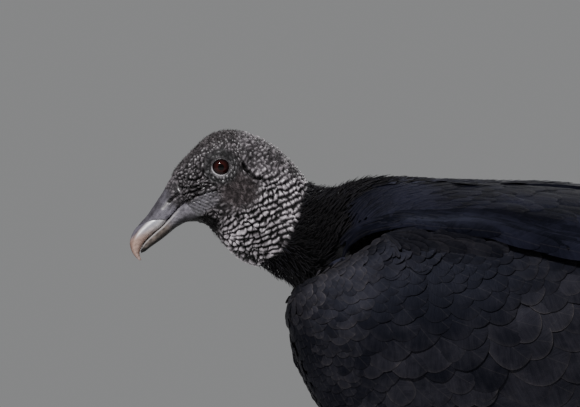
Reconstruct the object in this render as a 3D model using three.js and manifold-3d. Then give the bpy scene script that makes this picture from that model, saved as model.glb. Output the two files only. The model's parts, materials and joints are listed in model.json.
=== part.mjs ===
// A life-size black vulture standing level, head forward and low, wings folded and a little drooped.
// Millimetres, +Z up. The bird faces -X and its left side is -Y. The origin is on the ground, under the
// middle of the bird's length. Soft parts carry their plumage, so these solids are the outer form.
import * as THREE from "three";
import { mergeVertices } from "three/addons/utils/BufferGeometryUtils.js";
import Module from "manifold-3d";

const wasm = await Module();
wasm.setup();

// Driving sizes.
const GAP = 0.4; // clearance between neighbours that meet
const SEAM = 0.06; // the same gap, as a share of the space between two stations
const EYE = { x: -215.8, y: 14.9, z: 306.6, radius: 7.2 };
const FOOT = { x: -14, y: 36 }; // where the toes meet
const TOE_RADIUS = 4.4;
const SOLE_LEVEL = 0;
const WING_SPLIT = { x: 118, lean: 0.5 }; // where the bare primaries begin, and the line's lean
const BODY_SIDES = 24;

const COLOURS = {
  plumage: [0x121216, 0.6],
  bareSkin: [0x4a474a, 0.75],
  cere: [0x5c5a66, 0.5],
  horn: [0xb79d8a, 0.35],
  eye: [0x2a0f0c, 0.08],
  leg: [0x8d8a86, 0.7],
  claw: [0x1c1a1a, 0.35],
};

// Stations along the body from the base of the bill to the tail coverts. Each is a rib: its top and
// bottom on the midline (x, z), its half width, the share of its height where it is widest, and the
// roundness of its upper and lower halves (2 is an ellipse, more is squarer, less is pointed).
function rib(topX, topZ, lowX, lowZ, half, widest, upper, lower) {
  return { topX, topZ, lowX, lowZ, half, widest, upper, lower };
}
const BODY = [
  rib(-247, 300, -229, 272, 9.5, 0.5, 2.2, 2.4),
  rib(-244, 306, -227, 271.5, 12, 0.48, 2.2, 2.4),
  rib(-238, 313, -224, 270.5, 14.5, 0.45, 2.2, 2.3),
  rib(-231, 320, -221, 267.5, 17, 0.42, 2.3, 2.2),
  rib(-223, 327, -217, 263, 19, 0.38, 2.3, 2.0),
  rib(-214, 330, -214, 259, 20, 0.37, 2.3, 1.9),
  rib(-205, 330, -210, 255, 20.5, 0.38, 2.3, 1.9),
  rib(-196, 327, -206, 252, 21, 0.42, 2.2, 2.0),
  rib(-187, 323, -203, 249, 21, 0.46, 2.2, 2.0),
  rib(-178, 317, -199, 247, 21.5, 0.5, 2.1, 2.0),
  rib(-171, 310, -196, 245, 22, 0.52, 2.0, 2.0),
  rib(-165, 303, -192, 244.5, 23, 0.52, 2.0, 2.0),
  rib(-160, 297, -188, 243, 24.5, 0.5, 2.0, 2.0),
  rib(-155, 295, -180, 237, 28, 0.5, 2.0, 2.0),
  rib(-149, 294, -172, 233, 32, 0.48, 2.0, 2.0),
  rib(-142, 294, -164, 224, 38, 0.47, 2.0, 2.0),
  rib(-133, 297, -160, 203, 47, 0.44, 2.0, 2.1),
  rib(-120, 300, -153, 176, 57, 0.42, 2.0, 2.2),
  rib(-101, 301, -136, 153, 66, 0.4, 2.0, 2.2),
  rib(-75, 300, -104, 137, 73, 0.38, 2.1, 2.2),
  rib(-37, 299, -56, 130, 76, 0.38, 2.1, 2.2),
  rib(1, 298, -8, 130, 75, 0.38, 2.1, 2.2),
  rib(40, 292, 37, 135, 69, 0.38, 2.1, 2.1),
  rib(78, 284, 78, 146, 60, 0.38, 2.1, 2.0),
  rib(117, 272, 117, 162, 48, 0.38, 2.0, 2.0),
  rib(155, 256, 152, 182, 36, 0.4, 2.0, 2.0),
  rib(187, 240, 186, 200, 26, 0.45, 2.0, 2.0),
  rib(214, 223, 213, 209, 15, 0.5, 2.0, 2.0),
];
const HEAD_END = 8;
const NECK_END = 15;

// The bill: the upper half with its horny hook, and the lower half that shuts inside it.
const UPPER_BILL = [
  rib(-247.3, 299.6, -238.7, 285.2, 9.3, 0.62, 2.0, 3.4),
  rib(-251.6, 292.3, -243.2, 280.7, 8.2, 0.62, 2.0, 3.4),
  rib(-257.1, 283.8, -248.3, 274.8, 6.9, 0.6, 2.0, 3.2),
  rib(-262.2, 276.4, -252.8, 269.7, 6.1, 0.6, 2.0, 3.0),
  rib(-267.2, 270.9, -257.3, 266.2, 5.9, 0.58, 2.1, 3.0),
  rib(-271.3, 265.6, -261.8, 262.5, 5.3, 0.55, 2.2, 2.8),
  rib(-273.4, 259.8, -265.2, 258.6, 4.3, 0.5, 2.2, 2.6),
  rib(-272.9, 254.6, -267.1, 254.7, 3.0, 0.5, 2.2, 2.2),
  rib(-270.7, 250.4, -267.8, 251.1, 1.7, 0.5, 2.0, 2.0),
  rib(-267.5, 247.1, -266.5, 247.5, 0.5, 0.5, 2.0, 2.0),
];
const LOWER_BILL = [
  rib(-238.3, 284.2, -229.4, 272.2, 9.0, 0.4, 3.2, 2.2),
  rib(-243.0, 279.8, -237.0, 271.9, 8.0, 0.4, 3.2, 2.2),
  rib(-248.0, 273.8, -243.4, 268.9, 6.6, 0.4, 3.0, 2.2),
  rib(-252.4, 268.8, -249.2, 264.5, 5.5, 0.4, 3.0, 2.2),
  rib(-256.8, 265.0, -254.6, 260.3, 4.7, 0.4, 3.0, 2.2),
  rib(-261.0, 261.2, -260.2, 256.4, 3.7, 0.4, 2.6, 2.2),
  rib(-264.0, 257.6, -263.6, 254.0, 2.4, 0.45, 2.4, 2.2),
  rib(-265.2, 254.6, -265.1, 253.0, 1.0, 0.5, 2.0, 2.0),
];
// The horn of the hook begins on a slanting line from the top of the bill back to its cutting edge.
const HORN_LINE = { top: [-271.5, 267.6], edge: [-248.5, 273.2] };
const NOSTRIL = { x: -247.6, z: 288.4, length: 6.5, height: 1.7, slope: 0.85, depth: 2.6 };

// Stations of a folded wing from the wrist to the wing tip: the top and bottom edges (x, z), how far
// the sheet's middle lies from the midline at each, how much more it bulges between, and its thickness.
function slat(topX, topZ, lowX, lowZ, topY, lowY, bulge, thick) {
  return { topX, topZ, lowX, lowZ, topY, lowY, bulge, thick };
}
const WING = [
  slat(-173.5, 217, -173, 206, 63, 62, 0, 7),
  slat(-166, 230, -170.5, 193, 66, 66, 4, 17),
  slat(-149, 239, -164, 174, 70, 70, 8, 19),
  slat(-127, 252, -153, 155, 69, 73, 13, 18),
  slat(-102, 266, -134, 132, 67, 75, 17, 16),
  slat(-68, 271, -98, 112, 68, 77, 19, 14),
  slat(-18, 263, -42, 102, 73, 77, 18, 13),
  slat(40, 252, 26, 103, 70, 73, 16, 11),
  slat(92, 237, 86, 112, 62, 65, 13, 9),
  slat(132, 219, 130, 123, 51, 56, 8, 7),
  slat(168, 197, 174, 137, 45, 47, 5, 5.5),
  slat(208, 179, 213, 146, 38, 40, 2.5, 4),
  slat(244, 162, 246, 153, 33, 34, 0, 2),
];

// The scapulars lie over the top of the folded wing, from the shoulder to the rump.
const SCAPULARS = [
  slat(-138, 282, -134, 266, 40, 49, 0, 2.5),
  slat(-116, 294, -116, 266, 40, 65, 3, 7),
  slat(-82, 297, -86, 267, 41, 77, 5, 9),
  slat(-30, 296, -36, 261, 41, 84, 5, 9),
  slat(26, 291, 18, 249.5, 40, 82, 5, 8.5),
  slat(80, 280, 74, 236, 35, 73, 4, 7.5),
  slat(124, 266, 118, 221, 29, 60, 3, 6),
  slat(156, 249, 152, 214, 25, 48, 1, 4),
  slat(184, 232, 184, 221, 22, 31, 0, 1.2),
];

// Tail: a low arched fan of stiff feathers. Stations run from the rump to the square tip.
const TAIL = {
  start: [150, 243],
  tip: [273.5, 187],
  baseHalf: 24,
  tipHalf: 45,
  arch: 6,
  thickness: [9, 2.4],
  feathers: 12,
  stepsPerFeather: 2,
  notch: 3,
  rounding: 5,
};

// Thigh and shank stations: the middle (x, z), then the half sizes fore and aft and across.
const limb = (x, z, fore, across) => ({ x, z, fore, across });
const THIGH = [
  limb(-26, 186, 36, 24),
  limb(-17, 160, 34, 25),
  limb(-6, 134, 26, 20),
  limb(4, 111, 17, 14),
  limb(11, 96, 10, 9),
  limb(14.5, 87, 6, 6),
];
const SHANK = [
  limb(14, 85.5, 5.6, 5.2),
  limb(13, 80, 6.4, 6),
  limb(10, 68, 4.4, 4.2),
  limb(2, 46, 4.1, 3.9),
  limb(-7, 23, 4.4, 4.4),
  limb(-12, 12, 5.8, 7),
  limb(-14, 5, 7.4, 8.4),
  limb(-14.5, 0.6, 6.6, 7.6),
];
// Toes: heading from straight ahead in degrees (outwards is positive), length, and claw length.
const TOES = {
  middle: { heading: 3, length: 66, claw: 17, bones: 3 },
  inner: { heading: -27, length: 42, claw: 15, bones: 2 },
  outer: { heading: 34, length: 48, claw: 14, bones: 4 },
  hind: { heading: -163, length: 21, claw: 13, bones: 1 },
};

// A value that varies smoothly along a list of stations, by a cubic through its four nearest.
function along(stations, name, place) {
  const last = stations.length - 1;
  const i = Math.min(Math.floor(Math.max(place, 0)), last - 1);
  const t = THREE.MathUtils.clamp(place - i, 0, 1);
  const at = (k) => stations[THREE.MathUtils.clamp(k, 0, last)][name];
  const [a, b, c, d] = [at(i - 1), at(i), at(i + 1), at(i + 2)];
  const rise = i === 0 ? c - b : (c - a) / 2;
  const fall = i === last - 1 ? c - b : (d - b) / 2;
  const [t2, t3] = [t * t, t * t * t];
  return b * (2 * t3 - 3 * t2 + 1) + rise * (t3 - 2 * t2 + t) + c * (3 * t2 - 2 * t3) + fall * (t3 - t2);
}

const stationAt = (stations, place) =>
  Object.fromEntries(Object.keys(stations[0]).map((name) => [name, along(stations, name, place)]));

const signedPower = (value, power) => Math.sign(value) * Math.abs(value) ** power;

// A point on a rib: angle 0 is the top of the body, a quarter turn is its right side.
function onRib(station, angle, grow = 0) {
  const up = new THREE.Vector2(station.topX - station.lowX, station.topZ - station.lowZ);
  const height = up.length();
  up.divideScalar(height);
  const [s, c] = [Math.sin(angle), Math.cos(angle)];
  const power = 2 / (c >= 0 ? station.upper : station.lower);
  const reach = (c >= 0 ? station.widest * height : (1 - station.widest) * height) + grow;
  const level = signedPower(c, power) * reach - station.widest * height;
  return new THREE.Vector3(
    station.topX + up.x * level,
    signedPower(s, power) * (station.half + grow),
    station.topZ + up.y * level,
  );
}

// A point on a sheet's rim: the first half turn is its outer face, the second its inner one.
function onSlat(station, angle, side, grow = 0) {
  const t = (1 - Math.cos(angle)) / 2;
  const middle = station.topY + (station.lowY - station.topY) * t + station.bulge * 4 * t * (1 - t);
  const swell = signedPower(Math.sin(angle), 0.6) * (station.thick / 2 + grow);
  const edge = 1 + (2 * grow) / Math.hypot(station.topX - station.lowX, station.topZ - station.lowZ);
  const share = 0.5 + (t - 0.5) * edge;
  return new THREE.Vector3(
    THREE.MathUtils.lerp(station.topX, station.lowX, share),
    side * (middle + swell),
    THREE.MathUtils.lerp(station.topZ, station.lowZ, share),
  );
}

function onLimb(station, angle, side, grow = 0) {
  return new THREE.Vector3(
    station.x + Math.cos(angle) * (station.fore + grow),
    side * FOOT.y + Math.sin(angle) * (station.across + grow),
    station.z,
  );
}

// Evenly spaced places between two stations.
const places = (from, to, count) =>
  Array.from({ length: count + 1 }, (_, i) => from + ((to - from) * i) / count);

const ring = (sides, point) => Array.from({ length: sides }, (_, i) => point((i / sides) * 2 * Math.PI));

// A closed surface through a row of rings, faces pointing out. Each end is shut by strips that join
// the points either side of the line from a ring's first point to the one halfway round.
function closedLoft(rings) {
  const sides = rings[0].length;
  const points = rings.flat();
  const index = [];
  for (let row = 0; row < rings.length - 1; row++) {
    for (let i = 0; i < sides; i++) {
      const [a, b] = [row * sides + i, row * sides + ((i + 1) % sides)];
      index.push(a, b, b + sides, a, b + sides, a + sides);
    }
  }
  const lastRow = (rings.length - 1) * sides;
  for (let i = 0; i < sides / 2; i++) {
    const [across, nextAcross] = [(sides - i) % sides, sides - i - 1];
    if (i > 0) index.push(i, across, i + 1, lastRow + i, lastRow + i + 1, lastRow + across);
    if (i < sides / 2 - 1) {
      index.push(i + 1, across, nextAcross, lastRow + i + 1, lastRow + nextAcross, lastRow + across);
    }
  }
  let volume = 0;
  for (let k = 0; k < index.length; k += 3) {
    const [a, b, c] = [points[index[k]], points[index[k + 1]], points[index[k + 2]]];
    volume += a.dot(b.clone().cross(c));
  }
  if (volume < 0) index.reverse();
  return new THREE.BufferGeometry().setFromPoints(points).setIndex(index);
}

// Booleans.
function solid(geometry) {
  const bare = geometry.clone();
  bare.deleteAttribute("normal");
  bare.deleteAttribute("uv");
  const merged = mergeVertices(bare, 1e-4);
  return new wasm.Manifold(
    new wasm.Mesh({
      numProp: 3,
      vertProperties: merged.attributes.position.array,
      triVerts: new Uint32Array(merged.index.array),
    }),
  );
}

function largest(shape) {
  return shape.decompose().reduce((best, piece) => (piece.volume() > best.volume() ? piece : best));
}

function geometryOf(shape) {
  const { numProp, vertProperties, triVerts } = largest(shape).getMesh();
  const position = new Float32Array((vertProperties.length / numProp) * 3);
  for (let i = 0; i < position.length; i += 3) {
    position.set(vertProperties.subarray((i / 3) * numProp, (i / 3) * numProp + 3), i);
  }
  return new THREE.BufferGeometry()
    .setAttribute("position", new THREE.BufferAttribute(position, 3))
    .setIndex(new THREE.BufferAttribute(triVerts, 1));
}

const cut = (blank, ...tools) => tools.reduce((shape, tool) => shape.subtract(tool), blank);

const box = (width, depth, height, x, y, z) =>
  solid(new THREE.BoxGeometry(width, depth, height).translate(x, y, z));

// Head, neck and trunk, as lengths of one body.
function bodyLength(from, to, count, grow = 0) {
  const rings = places(from, to, count).map((place) => {
    const station = stationAt(BODY, place);
    return ring(BODY_SIDES, (angle) => onRib(station, angle, grow));
  });
  return solid(closedLoft(rings));
}

function billLength(stations, count, sides, grow = 0) {
  const rings = places(0, stations.length - 1, count).map((place) => {
    const station = stationAt(stations, place);
    return ring(sides, (angle) => onRib(station, angle, grow));
  });
  return solid(closedLoft(rings));
}

function ball(centre, radius) {
  return solid(new THREE.SphereGeometry(radius, 12, 8).translate(centre.x, centre.y, centre.z));
}

const eyeCentre = (side) => new THREE.Vector3(EYE.x, side * EYE.y, EYE.z);

function head() {
  const sockets = [-1, 1].map((side) => ball(eyeCentre(side), EYE.radius + GAP));
  return cut(bodyLength(0, HEAD_END - SEAM, 12), ...sockets);
}

// Everything of the bill in front of the horn line, as a large block to cut or keep with.
function hornBlock(offset) {
  const { top, edge } = HORN_LINE;
  const [dx, dz] = [edge[0] - top[0], edge[1] - top[1]];
  const size = 80;
  const block = new THREE.BoxGeometry(size, size, size).translate(0, 0, -size / 2 - offset);
  block.rotateY(-Math.atan2(dz, dx)).translate((top[0] + edge[0]) / 2, 0, (top[1] + edge[1]) / 2);
  return solid(block);
}

function nostril(side) {
  const slot = new THREE.BoxGeometry(NOSTRIL.length, NOSTRIL.depth * 2, NOSTRIL.height);
  const reach = along(UPPER_BILL, "half", 0.6) - 0.6;
  return solid(slot.rotateY(-NOSTRIL.slope).translate(NOSTRIL.x, side * reach, NOSTRIL.z));
}

function bill() {
  const upper = billLength(UPPER_BILL, 14, 14);
  const lower = cut(billLength(LOWER_BILL, 8, 12), billLength(UPPER_BILL, 14, 14, GAP));
  return {
    bill_upper: cut(upper, hornBlock(-GAP / 2), nostril(-1), nostril(1)),
    bill_hook: upper.intersect(hornBlock(GAP / 2)),
    bill_lower: lower,
  };
}

// Wings, scapulars and tail.
function sheetLength(stations, count, sides, side, grow = 0) {
  const rings = places(0, stations.length - 1, count).map((place) => {
    const station = stationAt(stations, place);
    return ring(sides, (angle) => onSlat(station, angle, side, grow));
  });
  return solid(closedLoft(rings));
}

// Everything behind the line where the bare primaries begin.
function behindWing(offset) {
  const size = 400;
  const block = new THREE.BoxGeometry(size, size, size).translate(size / 2 + offset, 0, 0);
  return solid(block.rotateY(WING_SPLIT.lean).translate(WING_SPLIT.x, 0, WING[9].topZ));
}

function tailFan() {
  const start = new THREE.Vector3(TAIL.start[0], 0, TAIL.start[1]);
  const reach = new THREE.Vector3(TAIL.tip[0], 0, TAIL.tip[1]).sub(start);
  const backwards = reach.clone().normalize();
  const steps = TAIL.feathers * TAIL.stepsPerFeather;
  const rings = places(0, 1, 3).map((share) =>
    ring(steps * 2, (angle) => {
      const step = Math.round((angle / Math.PI) * steps);
      const top = step < steps ? 1 : -1;
      const sideways = 1 - (2 * (top > 0 ? step : 2 * steps - step)) / steps;
      const half = THREE.MathUtils.lerp(TAIL.baseHalf, TAIL.tipHalf, share);
      const thick = THREE.MathUtils.lerp(TAIL.thickness[0], TAIL.thickness[1], share);
      const notch = step % TAIL.stepsPerFeather ? 0 : TAIL.notch;
      const shorter = share * (notch + TAIL.rounding * sideways ** 4);
      const point = start.clone().addScaledVector(reach, share).addScaledVector(backwards, -shorter);
      point.y = sideways * half;
      point.z += (step % steps === 0 ? 0 : (top * thick) / 2) - TAIL.arch * sideways * sideways;
      return point;
    }),
  );
  return solid(closedLoft(rings));
}

// Legs.
function limbLength(stations, count, sides, side, grow = 0) {
  const rings = places(0, stations.length - 1, count).map((place) => {
    const station = stationAt(stations, place);
    return ring(sides, (angle) => onLimb(station, angle, side, grow));
  });
  return solid(closedLoft(rings));
}

const underground = () => box(400, 400, 60, 0, 0, SOLE_LEVEL - 30);

// A toe runs out from the foot along its heading. It swells at each joint and is flat underneath.
function toeLine(toe, side) {
  const turn = THREE.MathUtils.degToRad(toe.heading);
  return {
    ahead: new THREE.Vector3(-Math.cos(turn), side * Math.sin(turn), 0),
    sideways: new THREE.Vector3(side * Math.sin(turn), Math.cos(turn), 0),
    start: new THREE.Vector3(FOOT.x, side * FOOT.y, 0),
  };
}

function toeRadius(toe, share) {
  const pads = 0.09 * Math.cos(share * toe.bones * 2 * Math.PI);
  return TOE_RADIUS * (1.04 - 0.24 * share + pads);
}

function toeSolid(toe, side, grow = 0) {
  const { ahead, sideways, start } = toeLine(toe, side);
  const [count, sides] = [2 + 2 * toe.bones, 8];
  const rings = places(0, 1, count).map((share) => {
    const radius = toeRadius(toe, share) * (share === 1 ? 0.8 : 1) + grow;
    const centre = start.clone().addScaledVector(ahead, share * toe.length);
    centre.z = toeRadius(toe, share) * 0.8;
    return ring(sides, (angle) => {
      const turned = angle + Math.PI / sides;
      return centre
        .clone()
        .addScaledVector(sideways, Math.cos(turned) * radius)
        .add(new THREE.Vector3(0, 0, Math.sin(turned) * radius));
    });
  });
  return solid(closedLoft(rings));
}

// A claw leaves the toe level and curls down to a point just above the ground.
function clawSolid(toe, side) {
  const { ahead, sideways, start } = toeLine(toe, side);
  const [count, sides, curl] = [4, 6, 1.15];
  const root = start.clone().addScaledVector(ahead, toe.length - 3.5);
  const rings = places(0, 1, count).map((share) => {
    const bend = share * curl;
    const centre = root.clone().addScaledVector(ahead, (toe.claw * Math.sin(bend)) / curl);
    centre.z = 5.2 - (toe.claw * (1 - Math.cos(bend)) * 0.62) / curl;
    const radius = 2.7 * (1 - share) ** 0.8 + 0.35;
    return ring(sides, (angle) =>
      centre
        .clone()
        .addScaledVector(sideways, Math.cos(angle) * radius * 0.75)
        .addScaledVector(ahead, Math.sin(angle) * Math.sin(bend) * radius)
        .add(new THREE.Vector3(0, 0, Math.sin(angle) * Math.cos(bend) * radius)),
    );
  });
  return solid(closedLoft(rings));
}

// Assembly.
const group = new THREE.Group();

function add(name, shape, finish) {
  const [color, roughness] = COLOURS[finish];
  const material = new THREE.MeshStandardMaterial({ color, roughness, metalness: 0 });
  const mesh = new THREE.Mesh(geometryOf(shape), material);
  mesh.name = name;
  group.add(mesh);
}

const tailEnd = BODY.length - 1;
const wholeBody = bodyLength(0, tailEnd, 54, GAP);
add("head", head(), "bareSkin");
add("neck", bodyLength(HEAD_END + SEAM, NECK_END - SEAM, 8), "plumage");
for (const [name, shape] of Object.entries(bill())) {
  add(name, shape, name === "bill_hook" ? "horn" : "cere");
}

const aroundTail = [wholeBody];
for (const [word, side] of [["left", -1], ["right", 1]]) {
  const wing = cut(sheetLength(WING, 16, 16, side), wholeBody);
  add(`wing_${word}`, cut(wing, behindWing(-GAP / 2)), "plumage");
  add(`primaries_${word}`, wing.intersect(behindWing(GAP / 2)), "plumage");
  const wholeWing = sheetLength(WING, 16, 16, side, GAP);
  const scapulars = sheetLength(SCAPULARS, 8, 12, side);
  add(`scapulars_${word}`, cut(scapulars, wholeBody, wholeWing), "plumage");
  aroundTail.push(sheetLength(SCAPULARS, 8, 12, side, GAP));

  const thigh = cut(limbLength(THIGH, 7, 14, side), wholeBody, wholeWing);
  add(`thigh_${word}`, thigh, "plumage");
  const shank = limbLength(SHANK, 10, 12, side);
  add(`shank_${word}`, cut(shank, limbLength(THIGH, 7, 14, side, GAP), underground()), "leg");
  const neighbours = [limbLength(SHANK, 10, 12, side, GAP)];
  for (const [digit, toe] of Object.entries(TOES)) {
    add(`toe_${digit}_${word}`, cut(toeSolid(toe, side), underground(), ...neighbours), "leg");
    neighbours.push(toeSolid(toe, side, GAP));
    add(`claw_${digit}_${word}`, cut(clawSolid(toe, side), underground(), ...neighbours), "claw");
  }
  add(`eye_${word}`, ball(eyeCentre(side), EYE.radius), "eye");
}
add("trunk", bodyLength(NECK_END + SEAM, tailEnd, 16), "plumage");
add("tail", cut(tailFan(), ...aroundTail), "plumage");

export default group;
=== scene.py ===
"""A life-size still model of a black vulture: skin, bill, eyes, claws, plumage and the studio round it.

Dataclass sizes are in millimetres and meshes are made in metres. The bird faces -X, its left side is
-Y, and it stands on z = 0. Feathers are laid by control points worked out on the body's surfaces, and
Geometry Nodes grow each layer of vanes on those points.
"""

import json
import logging
import math
from dataclasses import dataclass, field
from enum import Enum
from typing import Any, Callable, Sequence

import bmesh
import bpy
import numpy as np
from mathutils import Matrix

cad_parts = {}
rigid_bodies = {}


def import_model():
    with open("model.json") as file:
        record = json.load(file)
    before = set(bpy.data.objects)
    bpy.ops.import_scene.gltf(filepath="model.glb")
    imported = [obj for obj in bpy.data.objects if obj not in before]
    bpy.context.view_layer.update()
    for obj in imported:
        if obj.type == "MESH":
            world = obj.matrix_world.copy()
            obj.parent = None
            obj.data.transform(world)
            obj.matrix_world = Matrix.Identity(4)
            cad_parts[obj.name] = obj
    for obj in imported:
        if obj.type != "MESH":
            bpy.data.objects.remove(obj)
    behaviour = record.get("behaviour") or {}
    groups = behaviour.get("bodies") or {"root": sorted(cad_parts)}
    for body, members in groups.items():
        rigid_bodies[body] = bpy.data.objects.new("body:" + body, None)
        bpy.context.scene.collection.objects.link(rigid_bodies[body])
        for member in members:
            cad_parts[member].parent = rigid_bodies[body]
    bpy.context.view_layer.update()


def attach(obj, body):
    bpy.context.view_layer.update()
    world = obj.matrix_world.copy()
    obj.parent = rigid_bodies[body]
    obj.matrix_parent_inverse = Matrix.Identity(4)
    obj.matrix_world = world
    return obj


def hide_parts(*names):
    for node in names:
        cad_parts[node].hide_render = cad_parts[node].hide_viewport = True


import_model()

Array = np.ndarray
Colour = tuple[float, float, float]
Line = tuple[tuple[float, float], ...]
Fray = tuple[tuple[float, float], ...]
log = logging.getLogger("black_vulture")

MM = 0.001
SIDES = {"left": -1, "right": 1}
THIRDS = np.array([0, 1 / 3, 2 / 3, 1.0])[:, None]
DARKEST, PALEST = 0.0012, 0.95


# ---------------------------------------------------------------------------------------------------
# Numbers and noise
# ---------------------------------------------------------------------------------------------------


def smoothstep(low: float | Array, high: float | Array, x: Array) -> Array:
    """Eases from 0 at low to 1 at high."""
    t = np.clip((x - low) / (high - low), 0.0, 1.0)
    return t * t * (3.0 - 2.0 * t)


def bell(x: Array, width: float) -> Array:
    """A smooth bump, 1 at x = 0 and near 0 at three widths."""
    return np.exp(-((x / width) ** 2))


def from_top(angle: Array) -> Array:
    """How far an angle round a form is from its top, 0 to pi on either side."""
    return np.abs((angle + math.pi) % (2 * math.pi) - math.pi)


def unit(vectors: Array) -> Array:
    """Scales each row to length 1."""
    return vectors / np.maximum(np.linalg.norm(vectors, axis=-1, keepdims=True), 1e-12)


def dot(a: Array, b: Array) -> Array:
    """The dot product of each pair of rows, kept as a column."""
    return np.sum(a * b, axis=-1, keepdims=True)


def between(low: Sequence[float] | Array, high: Sequence[float] | Array, share: Array) -> Array:
    """Colours part of the way from one to another, by shares from 0 to 1."""
    return np.array(low) + (np.array(high) - np.array(low)) * share[:, None]


def rings(start: float, end: float, rows: int, columns: int) -> tuple[Array, Array]:
    """Stations down the rows of a grid, from start to end, and angles right round along its columns."""
    return tuple(np.meshgrid(np.linspace(start, end, rows), whole_turn(columns), indexing="ij"))


def whole_turn(count: int) -> Array:
    """Evenly spaced angles right round."""
    return np.arange(count) / count * 2 * math.pi


def turned(vectors: Array, axis: Array, angle: Array) -> Array:
    """Turns each row about its own axis.

    Args:
        vectors: rows to turn, each square to its axis.
        axis: unit axes, one a row.
        angle: radians, one a row.

    Returns:
        The turned rows.
    """
    c, s = np.cos(angle)[:, None], np.sin(angle)[:, None]
    return vectors * c + np.cross(axis, vectors) * s


def lattice_noise(cells: Array, seed: int) -> Array:
    """Three repeatable random numbers from 0 to 1 for each whole-numbered cell.

    Args:
        cells: (..., 3) whole numbers.
        seed: which pattern.

    Returns:
        (..., 3) random numbers.
    """
    c = cells.astype(np.int64)
    h = (c[..., 0] * 73856093) ^ (c[..., 1] * 19349663) ^ (c[..., 2] * 83492791) ^ (seed * 2654435761)
    out = []
    for turn in range(3):
        h = (h ^ (h >> 13)) * 1274126177 + turn * 374761393
        h &= 0xFFFFFFFF
        out.append(((h >> 7) & 0xFFFF) / 65535.0)
    return np.stack(out, axis=-1)


def value_noise(points: Array, seed: int) -> Array:
    """Smooth noise from -1 to 1 with one swing per unit of distance.

    Args:
        points: (N, 3) places.
        seed: which pattern.

    Returns:
        (N,) values.
    """
    base = np.floor(points)
    t = points - base
    t = t * t * (3 - 2 * t)
    total = np.zeros(len(points))
    for corner in np.ndindex(2, 2, 2):
        offset = np.array(corner)
        weight = np.prod(np.where(offset, t, 1 - t), axis=1)
        total += weight * lattice_noise(base + offset, seed)[:, 0]
    return total * 2 - 1


@dataclass
class Cells:
    """Distances to the two nearest seeds of a random cell pattern, and a number that is each cell's own."""

    nearest: Array
    second: Array
    own: Array

    @classmethod
    def of(cls, points: Array, seed: int, jitter: float = 0.9) -> "Cells":
        """Looks up the pattern.

        Args:
            points: (N, 3) places, in units of the cell size.
            seed: which pattern.
            jitter: how far seeds stray from a plain grid, 0 to 1.

        Returns:
            The pattern at those places.
        """
        base = np.floor(points)
        nearest = np.full(len(points), 9.0)
        second = np.full(len(points), 9.0)
        own = np.zeros(len(points))
        for corner in np.ndindex(3, 3, 3):
            cell = base + np.array(corner) - 1
            rand = lattice_noise(cell, seed)
            away = np.linalg.norm(cell + 0.5 + (rand - 0.5) * jitter - points, axis=1)
            closer = away < nearest
            second = np.where(closer, nearest, np.minimum(second, away))
            own = np.where(closer, rand[:, 2], own)
            nearest = np.where(closer, away, nearest)
        return cls(nearest, second, own)

    def beads(self, softness: float) -> Array:
        """Height of rounded beads, 0 in the creases between them and 1 on their tops."""
        return smoothstep(0.0, softness, self.second - self.nearest)


def segment_distance(x: Array, z: Array, line: Line) -> tuple[Array, Array]:
    """How far places in the side view lie from a line of segments.

    Args:
        x: places along the bird.
        z: their heights.
        line: corners of the line.

    Returns:
        The distance, and how far along the line the nearest point is, from 0 to 1.
    """
    best = np.full(np.shape(x), 1e9)
    where = np.zeros(np.shape(x))
    count = len(line) - 1
    for i, ((ax, az), (bx, bz)) in enumerate(zip(line, line[1:])):
        dx, dz = bx - ax, bz - az
        t = np.clip(((x - ax) * dx + (z - az) * dz) / (dx * dx + dz * dz), 0, 1)
        away = np.hypot(x - ax - t * dx, z - az - t * dz)
        where = np.where(away < best, (i + t) / count, where)
        best = np.minimum(best, away)
    return best, where


# ---------------------------------------------------------------------------------------------------
# Surfaces of the body
# ---------------------------------------------------------------------------------------------------


def stations_at(table: Array, place: Array) -> Array:
    """Smoothly interpolates a table of stations, by a cubic through its four nearest rows.

    Args:
        table: (K, F) stations.
        place: (N,) places, in stations.

    Returns:
        (N, F) values.
    """
    last = len(table) - 1
    i = np.clip(np.floor(place).astype(int), 0, last - 1)
    t = np.clip(place - i, 0.0, 1.0)[:, None]
    a, b, c, d = (table[np.clip(i + k, 0, last)] for k in (-1, 0, 1, 2))
    rise = np.where((i == 0)[:, None], c - b, (c - a) / 2)
    fall = np.where((i == last - 1)[:, None], c - b, (d - b) / 2)
    t2, t3 = t * t, t * t * t
    return b * (2 * t3 - 3 * t2 + 1) + rise * (t3 - 2 * t2 + t) + c * (3 * t2 - 2 * t3) + fall * (t3 - t2)


def signed_power(value: Array, power: float | Array) -> Array:
    """Raises the size of a number to a power and keeps its sign."""
    return np.sign(value) * np.abs(value) ** power


class Surface:
    """A surface with two coordinates u and v, worked out from a table of stations."""

    step = (0.02, 0.02)
    table: Array

    def point(self, u: Array, v: Array) -> Array:
        """Places on the surface, in millimetres."""
        raise NotImplementedError

    def frame(self, u: Array, v: Array) -> tuple[Array, Array, Array, Array]:
        """The surface's local frame.

        Args:
            u: first coordinate.
            v: second coordinate.

        Returns:
            The point, its change with u and with v, and the outward normal.
        """
        eu, ev = self.step
        du = (self.point(u + eu, v) - self.point(u - eu, v)) / (2 * eu)
        dv = (self.point(u, v + ev) - self.point(u, v - ev)) / (2 * ev)
        return self.point(u, v), du, dv, unit(np.cross(du, dv))

    def unwrap(self, u: Array, v: Array) -> Array:
        """Places on a flat unwrap, the angle across and the station up, each from 0 to 1."""
        return np.stack([(v / (2 * math.pi)) % 1.0, u / (len(self.table) - 1)], axis=-1)


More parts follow.
